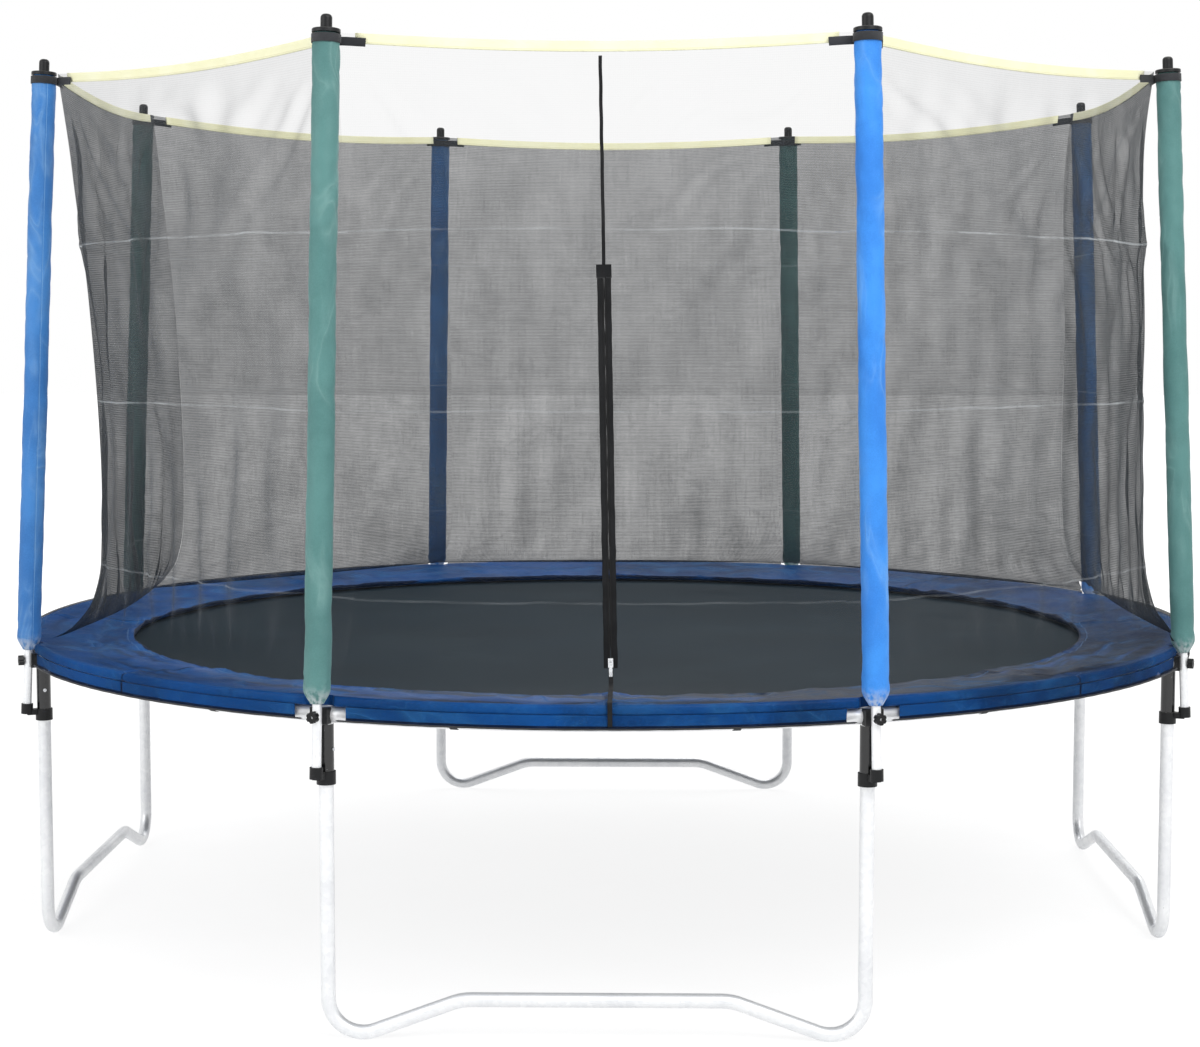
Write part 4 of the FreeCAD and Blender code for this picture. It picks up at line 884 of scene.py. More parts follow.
@dataclass(frozen=True)
class NetMesh(Finish):
    """Knitted net: see-through holes between threads, a pale, thin outer face (painted light) and a dark,
    dense inner face (painted shade).

    The inner face's cover falls from inner_foot at the height foot to inner_top at the height top.
    Each of the streaks is the noise's scale across and along the net and its most.
    """

    # the outer face's colour, paler than thread as painted light
    outside: Colour = linear(82, 86, 90)
    thread: Colour = linear(50, 53, 56)
    # pale colour painted on the packing creases as a highlight
    crease: Colour = linear(222, 228, 231)
    pitch: float = 0.0046
    outer_cover: float = 0.065
    shading: float = 0.14
    inner_top: float = 0.63
    inner_foot: float = 0.735
    top: float = 2.50
    foot: float = 1.00
    streaks: tuple[tuple[float, ...], ...] = (
        (3.2, 1.8, 0.050), (12.0, 230.0, 0.026), (230.0, 12.0, 0.024),
        (4.0, 62.0, 0.015), (62.0, 4.0, 0.013), (70.0, 70.0, 0.016))

    def looks(self, w: Wiring) -> Looks:
        """UV is in metres: u along the hem, v up the net. Cover is the share that threads fill; light
        that isn't seen directly meets an even cover.

        Args:
            w: the material's wiring.

        Returns:
            The shader's inputs.
        """
        uv = w.place("UV")
        u, v, _ = w.axes(uv)
        height = w.axes(w.place("Object"))[2]
        rate = math.pi / self.pitch
        rib, course = abs(w.math("SINE", u * rate)), abs(w.math("SINE", v * (rate * 0.8)))
        knit = w.most(w.span(rib, 0.80, 0.98), w.span(course, 0.76, 0.98))
        back = w.node("NewGeometry")["Backfacing"]
        graze = w.node("LayerWeight", {"Blend": 0.5})["Facing"]
        # The inner face's dense cover and the outer face's thin one make the far side of the net dark and the
        # near side nearly clear: painted shade and painted light.
        inner = w.span(height, self.foot, self.top, self.inner_foot, self.inner_top, soft=False)
        inner = inner + graze ** 2.0 * 0.24
        outer = (graze ** 1.8 * 0.62 + self.outer_cover) * w.span(height, 0.905, 1.06, 0.13, 1.0)
        cover = (inner * back + outer * (1.0 - back)) * (self.unevenness(w, uv) + 1.0)
        alpha = cover * w.span(knit, 0.0, 1.0, 0.91, 1.19)
        line = self.packing_lines(w, uv, height)
        path = w.node("LightPath")
        shown = w.math("ADD", alpha, line * w.span(back, 0.0, 1.0, 0.19, 0.02), clamp=True)
        # Painted light and shade: the outer face takes the paler colour as if lit, the inner face the darker
        # thread colour as if shaded.
        colour = w.mix(back, self.outside, self.thread)
        # Painted highlight: the packing creases turn pale, strongly on the outer face and faintly on the
        # inner one.
        return {"Base Color": w.mix(line * w.span(back, 0.0, 1.0, 0.75, 0.10), colour, self.crease),
                "Alpha": w.span(w.most(path["Is Shadow Ray"], path["Is Diffuse Ray"]), 0.0, 1.0,
                                shown, self.shading, soft=False),
                "Roughness": w.span(knit, 0.0, 1.0, 0.85, 0.6), "Specular IOR Level": 0.15,
                "Normal": w.bump(knit, 0.3, 0.0008)}

    def unevenness(self, w: Wiring, uv: Signal) -> Signal:
        """How much more or less than usual the threads cover, as a share about 0.

        Args:
            w: the material's wiring.
            uv: the net's texture coordinates.

        Returns:
            The folds' lean (the mesh's "fold" value, painted shade on one side of each fold) + wrinkles + the
            streaks.
        """
        # Painted shade: the "fold" value thickens the cover on one side of each fold.
        lean = w.node("Attribute", attribute_name="fold")["Fac"]
        tiny = EFFECTS.place(w, Effect.CREASES, Vector=uv, Scale=7.0, Sharpness=7.0)["Line"]
        total = lean * 0.07 + tiny * 0.05
        for across, along, most in self.streaks:
            streak = w.noise(w.stretch(uv, across, along), 1.0, 3.0, 0.6)
            total = total + w.span(streak, 0.3, 0.7, -most, most)
        return total

    def packing_lines(self, w: Wiring, uv: Signal, height: Signal) -> Signal:
        """The level lines at which the net lay folded in its box, broken by noise.

        Args:
            w: the material's wiring.
            uv: the net's texture coordinates.
            height: the height above the ground.

        Returns:
            A mask, 1 on a line.
        """
        level = height + (w.noise(uv, 2.2, 2.0) - 0.5) * 0.03
        line: Input = 0.0
        for index, fold in enumerate(PACKED_AT):
            part = w.span(w.noise(uv, 3.0 + index, 4.0, 0.65), 0.36, 0.56, 0.25, 1.0 - 0.25 * index)
            line = w.most(line, w.span(abs(level - fold), 0.0045, 0.0010) * part)
        return line


@dataclass(frozen=True)
class BandCloth(Finish):
    """Pale yellow border tape folded over the net's top edge and sewn down."""

    colour: Colour = linear(250, 249, 214)
    shade: Colour = linear(232, 228, 168)
    sewing: Colour = linear(196, 190, 140)
    rows_at: tuple[float, float] = (0.005, 0.0485)

    def looks(self, w: Wiring) -> Looks:
        """UV u runs over the fold from hem to hem and v along the band, in metres.

        Args:
            w: the material's wiring.

        Returns:
            The shader's inputs.
        """
        uv = w.place("UV")
        u, v, _ = w.axes(uv)
        weave = EFFECTS.place(w, Effect.WEAVE, Vector=uv, Pitch=0.0013, Slack=0.2)["Height"]
        mottle = EFFECTS.place(w, Effect.MOTTLE, Vector=uv, Scale=7.0, Speckle=0.3)["Value"]
        rows = [EFFECTS.place(w, Effect.STITCHES, Across=u - at, Along=v, Pitch=0.0045, Width=0.0009)["Mask"]
                for at in self.rows_at]
        colour = w.mix(mottle * 0.35, self.colour, self.shade)
        return {"Base Color": w.mix(w.most(rows[0], rows[1]) * 0.6, colour, self.sewing),
                "Roughness": w.span(mottle, 0.0, 1.0, 0.6, 0.75), "Sheen Weight": 0.2,
                "Normal": w.bump(weave, 0.3, 0.0004)}


@dataclass(frozen=True)
class FloorPaint(Finish):
    """A plain pale floor that shows white to the camera and keeps a soft shadow."""

    tone: float = 0.24
    lift: float = 0.865

    def make(self) -> bpy.types.Material:
        """Rays from the eye and its reflections get lift + a grey floor; other rays a white floor.

        Returns:
            The material.
        """
        material = bpy.data.materials.new(self.name)
        w = fresh_wiring(material)
        speck = w.span(w.noise(w.place("Object"), 3.0, 3.0), 0.3, 0.7, self.tone - 0.01, self.tone + 0.01)
        grey = w.node("BsdfDiffuse", {"Color": w.node("CombineColor", {0: speck, 1: speck, 2: speck})[0]})[0]
        x, y, _ = w.axes(w.place("Object"))
        glow = w.node("Emission", {"Color": (1.0, 1.0, 1.0, 1.0),
                                   "Strength": w.span(w.away(x, y), 3.5, 9.0, self.lift, 1.05)})[0]
        both = w.node("AddShader", {0: grey, 1: glow})[0]
        plain = w.node("BsdfDiffuse", {"Color": (0.8, 0.8, 0.8, 1.0)})[0]
        w.end("Material", w.node("MixShader", {0: seen_rays(w), 1: plain, 2: both})[0])
        return material


def seen_rays(w: Wiring) -> Signal:
    """1 for rays from the camera, and for those that mirrors and glass send on."""
    path = w.node("LightPath")
    return w.most(path["Is Camera Ray"], w.most(path["Is Glossy Ray"], path["Is Transmission Ray"]))


# ---------------------------------------------------------------- cloth simulation


@dataclass(frozen=True)
class ClothPress:
    """Blows a sewn cover up against its seams with a short cloth simulation."""

    pressure: float = 4.0
    frames: int = 20
    slack: float = 0.0
    stiffness: float = 15.0
    bending: float = 0.5

    def swell(self, points: np.ndarray, faces: np.ndarray, held: np.ndarray, cap: np.ndarray) -> np.ndarray:
        """Simulate a cover and give its points back, each moved by at most its cap.

        Args:
            points: the cover's points.
            faces: its quads, outwards.
            held: how firmly each point is held, from 0 to 1.
            cap: how far each point may move.

        Returns:
            The moved points.
        """
        mesh = bpy.data.meshes.new("press")
        mesh.from_pydata(points.tolist(), [], faces.tolist())
        cover = bpy.data.objects.new("press", mesh)
        scene = bpy.context.scene
        scene.collection.objects.link(cover)
        pins = cover.vertex_groups.new(name="held")
        for weight in np.unique(np.round(held, 2)):
            if weight > 0.0:
                pins.add(np.nonzero(np.round(held, 2) == weight)[0].tolist(), float(weight), "REPLACE")
        cloth = cover.modifiers.new("press", "CLOTH")
        for name, value in {"quality": 5, "mass": 0.25, "tension_stiffness": self.stiffness,
                            "compression_stiffness": self.stiffness,
                            "shear_stiffness": self.stiffness * 0.6, "bending_stiffness": self.bending,
                            "use_pressure": True, "uniform_pressure_force": self.pressure,
                            "vertex_group_mass": "held", "shrink_min": -self.slack}.items():
            setattr(cloth.settings, name, value)
        cloth.settings.effector_weights.gravity = 0.0
        cloth.collision_settings.use_collision = False
        for number in range(1, self.frames + 1):
            scene.frame_set(number)
        shaped = cover.evaluated_get(bpy.context.evaluated_depsgraph_get())
        after = np.zeros(len(points) * 3, np.float32)
        shaped.data.vertices.foreach_get("co", after)
        bpy.data.objects.remove(cover)
        scene.frame_set(1)
        move = after.reshape(-1, 3) - points
        share = np.minimum(1.0, cap / np.maximum(np.linalg.norm(move, axis=1), 1e-9))
        return points + move * share[:, None]


# ---------------------------------------------------------------- pieces


@dataclass
class Studio:
    """The camera at the photograph's viewpoint, the floor, the lamps and the plain pale world."""

    eye: tuple[float, float, float] = (0.1246, -7.5661, 1.8234)
    tilt: float = 90.0 - 4.694
    turn: float = 1.1177
    lens: float = 70.02
    world_level: float = 0.58
    floor_reach: float = 60.0

    def build(self) -> None:
        """Make the camera, the world, the lamps and the floor."""
        scene = bpy.context.scene
        data = bpy.data.cameras.new("viewpoint")
        data.lens, data.sensor_width, data.clip_end = self.lens, 36.0, 200.0
        camera = bpy.data.objects.new("viewpoint", data)
        camera.location = self.eye
        camera.rotation_euler = (math.radians(self.tilt), 0.0, math.radians(self.turn))
        scene.collection.objects.link(camera)
        scene.camera = camera
        scene.view_settings.view_transform = "Standard"
        self.world(scene)
        self.lamp("key", (3.2, -6.5, 6.5), (0.0, -0.5, 1.3), 5.0, 390.0)
        self.lamp("fill", (-6.0, -5.0, 4.0), (0.0, 0.0, 1.2), 5.0, 170.0)
        self.lamp("rim", (1.5, 6.5, 6.0), (0.0, 0.0, 1.2), 6.0, 190.0)
        side = np.linspace(-self.floor_reach, self.floor_reach, 9)
        points = np.stack(np.broadcast_arrays(side[None, :], side[:, None], 0.0), axis=-1)
        make_piece("floor", [grid_patch(points, side, side)], [FloorPaint("floor_paint").make()])

    def world(self, scene: bpy.types.Scene) -> None:
        """White to the eye and in reflections, a plain grey level as light.

        Args:
            scene: the scene.
        """
        scene.world = bpy.data.worlds.new("plain_sky")
        w = fresh_wiring(scene.world)
        level = w.span(seen_rays(w), 0.0, 1.0, self.world_level, 1.0, soft=False)
        w.end("World", w.node("Background", {"Color": (1.0, 1.0, 1.0, 1.0), "Strength": level})[0])

    def lamp(self, name: str, where: tuple[float, ...], aim: tuple[float, ...], size: float, power: float
             ) -> None:
        """Hang one soft square lamp.

        Args:
            name: its name.
            where: its place.
            aim: the point it faces.
            size: its side.
            power: its watts.
        """
        data = bpy.data.lights.new(name, "AREA")
        data.shape, data.size, data.energy = "SQUARE", size, power
        lamp = bpy.data.objects.new(name, data)
        lamp.location = where
        lamp.rotation_euler = (Vector(aim) - Vector(where)).to_track_quat("-Z", "Y").to_euler()
        bpy.context.scene.collection.objects.link(lamp)


@dataclass
class PoleLine:
    """The line of one enclosure pole: its foot beside the frame and its inward lean."""

    station: float
    foot_radius: float = 1.85911
    foot_height: float = 0.694
    lean: float = 2.61

    def frame(self) -> tuple[np.ndarray, np.ndarray, np.ndarray, np.ndarray]:
        """The foot, the direction round the frame, the direction across and the pole's own."""
        outward, round_way = compass(self.station)
        lean = math.radians(self.lean)
        axis = -math.sin(lean) * outward + math.cos(lean) * UP
        return outward * self.foot_radius + UP * self.foot_height, round_way, np.cross(axis, round_way), axis

    def at(self, x: np.ndarray, y: np.ndarray, along: np.ndarray) -> np.ndarray:
        """Points foot + x * round + y * across + along * axis."""
        foot, side, across, axis = self.frame()
        return foot + x[..., None] * side + y[..., None] * across + along[..., None] * axis


@dataclass
class TubeFrame:
    """The carried-over steel and plastic nodes, each with its finish."""

    tube: Finish = GalvanisedTube("zinc_dipped_tube")
    rail: Finish = GalvanisedTube("zinc_dipped_rail", painted=True)
    plated: Finish = PlatedSteel("plated_steel")
    plastic: Finish = MouldedPlastic("moulded_plastic")
    bright: Finish = PlatedSteel("zip_nickel", bright=linear(236, 238, 240), dark=linear(150, 153, 158),
                                 rough=0.2)

    def finishes(self) -> dict[Finish, tuple[str, ...]]:
        """Each finish, with the starts of the names of the nodes that wear it."""
        return {self.rail: ("top_rail",), self.tube: ("leg_base", "leg_upright", "pole_lower", "pole_upper"),
                self.plastic: ("pole_caps", "pole_foot", "rail_saddles", "hand_nuts"),
                self.plated: ("pole_bolts", "socket_screws", "mat_rings"),
                self.bright: ("zip_slider", "zip_pull")}

    def build(self) -> None:
        """Give every carried-over node its material."""
        for name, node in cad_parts.items():
            for finish, starts in self.finishes().items():
                if name.startswith(starts):
                    node.data.materials.clear()
                    node.data.materials.append(finish.make())
                    LOG.info("%s: %s", name, finish.name)


@dataclass
class SleeveSet:
    """Eight foam sleeves in sewn cloth, gathered at the foot, green and blue in turn."""

    radius: float = 0.0345
    start: float = 0.188
    end: float = 1.8796
    foot_radius: float = 0.0150
    sides: int = 36
    rows: int = 168
    kinds: int = 3
    press: ClothPress = ClothPress(pressure=3.0, frames=16, slack=0.012, stiffness=9.0, bending=0.3)
    greens: Finish = SleeveCloth("green_sleeve_cloth")
    # Two copies of one blue cloth: a bright one as lit for the front-right sleeve, and a duller one as
    # painted shade for the other blue sleeves.
    blues: Finish = SleeveCloth("blue_sleeve_cloth", colour=linear(62, 150, 240), shade=linear(34, 104, 196),
                                faded=linear(140, 196, 250))
    shaded_blues: Finish = SleeveCloth("blue_sleeve_weathered", colour=linear(66, 134, 204),
                                    shade=linear(38, 92, 158), faded=linear(138, 180, 218))

    def rises(self) -> np.ndarray:
        """Each row's distance from the foot, closer together at both ends."""
        length = self.end - self.start
        return np.concatenate([np.linspace(0.0, 0.07, 14), np.linspace(0.08, length - 0.012, self.rows - 18),
                               length - np.array([0.007, 0.003, 0.0008, 0.0])])

    def outline(self, kind: int, rise: np.ndarray) -> np.ndarray:
        """The sleeve in its own frame, foot at 0: r(t) swells from the gathered foot by an eased
        rise over 45 mm, with pleats cos(9 theta) that fade out upwards, and closes over the top.

        Args:
            kind: which of the few different sleeves.
            rise: each row's distance from the foot.

        Returns:
            Points of rows, sides and 3.
        """
        length = self.end - self.start
        t, theta = rise[:, None], (np.arange(self.sides) * TAU / self.sides)[None, :]
        body = self.foot_radius + (self.radius - self.foot_radius) * smooth_step(-0.004, 0.040, t) ** 0.8
        body = body - 0.006 * smooth_step(length - 0.012, length, t) ** 2
        pleat = 0.0022 * np.cos(9.0 * theta + kind) * smooth_step(0.075, 0.012, t)
        pleat = pleat * smooth_step(-0.02, 0.01, t)
        lumps = 0.0005 * Ripple(40 + kind, 0.16, stretch=1.6).at(np.sin(theta) * 0.06, t)
        lumps = lumps + 0.0003 * Ripple(50 + kind, 0.07).at(np.cos(theta) * 0.05, t)
        radius = body + (pleat + lumps) * smooth_step(length, length - 0.05, t)
        return np.stack([radius * np.cos(theta), radius * np.sin(theta), t + 0 * theta], axis=-1)

    def wrinkled(self, points: np.ndarray, rise: np.ndarray) -> np.ndarray:
        """Let the cloth buckle under a light pressure, held at its foot and its top.

        Args:
            points: the sleeve's points.
            rise: each row's distance from the foot.

        Returns:
            The points after the simulation.
        """
        rows, sides = points.shape[:2]
        patch = grid_patch(points, np.arange(sides + 1.0), np.arange(float(rows)), wrap=True)
        ends = np.maximum(smooth_step(0.07, 0.03, rise),
                          smooth_step(rise[-1] - 0.03, rise[-1] - 0.012, rise))
        moved = self.press.swell(patch.points, patch.faces, np.repeat(np.round(ends, 1), sides),
                                 np.repeat(0.0011 * (1.0 - ends), sides))
        return moved.reshape(rows, sides, 3)

    def build(self) -> None:
        """Make the few kinds of sleeve, then fit one to each pole."""
        rise = self.rises()
        shapes = [self.wrinkled(self.outline(kind, rise), rise) for kind in range(self.kinds)]
        around = np.arange(self.sides + 1) * TAU * self.radius / self.sides
        for index, station in enumerate(STATIONS):
            x, y, up = np.moveaxis(shapes[index % self.kinds], -1, 0)
            turn = math.radians(90.0 + 137.0 * (index // self.kinds))
            cos, sin = math.cos(turn), math.sin(turn)
            points = PoleLine(station).at(x * cos - y * sin, x * sin + y * cos, up + self.start)
            patch = grid_patch(closed_ends(points), around, np.concatenate([rise[:1], rise, rise[-1:]]),
                               wrap=True)
            # The front-right sleeve takes the lit blue copy, the other blue sleeves the shaded one.
            finish = self.greens if index % 2 == 0 else self.blues if index == 1 else self.shaded_blues
            piece = make_piece(f"sleeve_cover_{index + 1}", [patch], [finish.make()], sharp=70.0, weld=True)
            settle(piece, "frame", "blue_sleeve" if index % 2 else "green_sleeve", f"pole_sleeve_{index + 1}")


@dataclass
class SpringCover:
    """The padded ring over the springs: vinyl on foam, sewn in eight lengths, with a skirt."""

    outer: float = 1.840
    notch: float = 0.0425
    seam_shift: float = 1.25
    skirt_gap: float = 0.075
    press: ClothPress = ClothPress(pressure=5.0, frames=20, slack=0.02, stiffness=12.0, bending=0.4)
    vinyl: Finish = PadVinyl("coated_vinyl")
    elastic: Finish = Webbing("pad_elastic")

    def arc(self, centre: tuple[float, float], radius: float, start: float, end: float, count: int
            ) -> np.ndarray:
        """Points on an arc, angles in degrees from outwards, up positive."""
        turn = np.radians(np.linspace(start, end, count))
        return np.stack([centre[0] + radius * np.cos(turn), centre[1] + radius * np.sin(turn)], axis=-1)

    def section(self) -> np.ndarray:
        """The ring's closed section, as radius and height.

        The underside passes over the springs and lies on the rail. The top runs from the outer
        edge to the inner one with a crown of a sine arch 3 mm high. Corners are rounds.

        Returns:
            The outline's points.
        """
        share = np.linspace(0.0, 1.0, 20)[1:-1]
        low, high = np.array([1.8295, 0.9010]), np.array([1.5225, 0.8815])
        top = low + (high - low) * share[:, None]
        top[:, 1] += 0.003 * np.sin(np.pi * share)
        below = [(1.5225, 0.8586), (1.580, 0.8608), (1.6372, 0.8638), (1.712, 0.8700), (1.788, 0.8738),
                 (1.812, 0.8740)]
        return np.concatenate([np.array(below), self.arc((1.8305, 0.8820), 0.0082, -85.0, 0.0, 4),
                               self.arc((1.8285, 0.8914), 0.0098, 8.0, 80.0, 5), top,
                               self.arc((1.5215, 0.8715), 0.0105, 95.0, 262.0, 9)])

    def columns(self) -> np.ndarray:
        """Angles round the ring: every 4 mm at a seam, every 18 mm on a panel, every 6 mm at a pole.

        Returns:
            The angles, pulled along with the front seam near it.
        """
        half = np.concatenate([np.arange(0.0, 0.032, 0.004), np.arange(0.034, 0.560, 0.018),
                               np.arange(0.568, 0.656, 0.006)])
        sector = np.degrees(np.concatenate([-half[:0:-1], half]) / PAD_ARC)
        every = np.concatenate([sector + middle for middle in PANELS])
        return every + self.seam_shift * bump_at(every, 0.0, 6.0)

    def off_seam(self, angle: np.ndarray) -> np.ndarray:
        """How far each angle is from its nearest seam. The front seam is shifted.

        Args:
            angle: angles round the ring, in degrees.

        Returns:
            The distances, in metres.
        """
        off = np.abs((angle + HALF) % (2 * HALF) - HALF)
        off = np.where(np.abs(angle) < 20.0, np.abs(angle - self.seam_shift), off)
        return off * math.radians(1.0) * PAD_ARC

    def notched(self, points: np.ndarray) -> np.ndarray:
        """Push every point out of the poles' round notches, towards the frame's axis.

        A point at (x, y) across a pole's axis with x*x + y*y < notch^2 goes to y = sqrt(notch^2 - x*x).

        Args:
            points: the ring's points.

        Returns:
            The moved points.
        """
        moved = points.copy()
        for station in STATIONS:
            foot, side, across, axis = PoleLine(station).frame()
            away = moved - foot
            x, y = away @ side, away @ across
            wall = np.sqrt(np.maximum(self.notch ** 2 - x ** 2, 0.0))
            hit = (np.abs(x) < self.notch) & (y < wall) & (away @ axis < NOTCH_TOP)
            moved = moved + np.where(hit, wall - y, 0.0)[..., None] * across
        return moved

    def ring(self) -> Patch:
        """The padded ring after its pressing: seams stay in, the cover between them swells.

        Returns:
            The patch, with u round the ring and v round its section.
        """
        line, angle = self.section(), self.columns()
        out, up = line[:, :1], line[:, 1:]
        pinch = bump_at(self.off_seam(angle), 0.0, 0.012)
        radius = out + (1.675 - out) * 0.012 * pinch
        height = up + (0.8825 - up) * 0.30 * pinch * (up > 0.875)
        upper, inside = smooth_step(0.872, 0.884, up), smooth_step(1.835, 1.79, out)
        arc = np.radians(angle)[None, :] * PAD_ARC
        waves = 0.0036 * Ripple(3, 0.26, stretch=0.5).at(arc, out)
        waves = waves + 0.0020 * Ripple(5, 0.10, stretch=0.7).at(arc, out)
        height = height + waves * upper * inside * (0.35 + 0.65 * smooth_step(1.80, 1.68, out))
        radius = radius + 0.0042 * Ripple(8, 0.34).at(arc) * smooth_step(1.56, 1.51, out)
        points = self.notched(polar(angle[None, :], radius, height))
        held = np.maximum(np.maximum(1.0 - upper, 1.0 - inside), pinch > 0.75)
        free = (upper * inside) * (1.0 - pinch)
        moved = self.press.swell(points.reshape(-1, 3), self.sewn(points).faces % held.size,
                                 held.reshape(-1), (0.0075 * free + 1e-5).reshape(-1))
        return self.sewn(self.notched(moved.reshape(points.shape)))

    def sewn(self, points: np.ndarray) -> Patch:
        """Close the ring's points round its section into one patch.

        Args:
            points: section points by columns.

        Returns:
            The patch, with u round the ring and v round its section.
        """
        line, angle = self.section(), self.columns()
        u = np.append(angle, angle[0] + 360.0) * math.radians(1.0) * PAD_ARC
        run = run_along(np.vstack([line, line[:1]]))
        return grid_patch(np.concatenate([points, points[:1]]), u, run, wrap=True, flip=True)

    def skirt(self, middle: float) -> Patch:
        """One length of the skirt between two poles: a thin hanging strip with a rolled hem.

        Args:
            middle: the angle of its middle.

        Returns:
            The patch.
        """
        half = HALF - math.degrees(self.skirt_gap / self.outer)
        angle = middle + np.linspace(-half, half, 75)
        arc = np.radians(angle) * self.outer
        drop = np.array([0.0, 0.010, 0.020, 0.028, 0.033, 0.0355, 0.0366])
        wave = 0.0013 * Ripple(21, 0.11).at(arc) + 0.0008 * Ripple(22, 0.045).at(arc)
        sway = (wave[None, :] * smooth_step(0.0, 0.03, drop)[:, None]) - 0.0004
        hem = 0.0016 * bump_at(drop, 0.0335, 0.003)[:, None]
        height = 0.8752 - drop[:, None]
        outside = polar(angle[None, :], 1.8392 + sway + hem * 0.5, height)
        inside = polar(angle[None, :], 1.8378 + sway - hem * 0.5, height)[::-1]
        run = np.concatenate([drop, 2 * drop[-1] - drop[::-1], [0.075]]) + 0.72
        return grid_patch(np.concatenate([outside, inside, outside[:1]]), arc, run, flip=True)

    def ties(self) -> bpy.types.Object:
        """Sixteen elastic loops round the rail: a strap section carried round the tube.

        Returns:
            The piece.
        """
        turn = np.linspace(0.0, TAU, 37)
        patches = []
        for index in range(16):
            radial, side = compass((index + 0.5) * HALF)
            ups = np.cos(turn)[:, None] * radial + np.sin(turn)[:, None] * UP
            centre = radial * RAIL_RADIUS + UP * LEVEL + ups * 0.0219
            patches.append(carry(strap_outline(0.020, 0.0013), centre, -side, ups, capped=False))
        piece = make_piece("pad_tie_loops", patches, [self.elastic.make()], weld=True)
        return settle(piece, "frame", "webbing", "pad_ties")

    def build(self) -> None:
        """Make the cover with its skirt, and the ties under it.

        The "seam" value that the vinyl reads is how near each point is to a seam, 1 on it.
        """
        patches = [self.ring()] + [self.skirt(middle) for middle in PANELS]
        piece = make_piece("spring_cover_pad", patches, [self.vinyl.make()], sharp=75.0, weld=True)
        spots = np.zeros(len(piece.data.vertices) * 3, np.float32)
        piece.data.vertices.foreach_get("co", spots)
        x, y, _ = spots.reshape(-1, 3).T
        mark(piece, "seam", bump_at(self.off_seam(np.degrees(np.arctan2(x, -y))), 0.0, 0.0055))
        settle(piece, "frame", "pad_vinyl", "pad_cover", "pad_foam")
        self.ties()


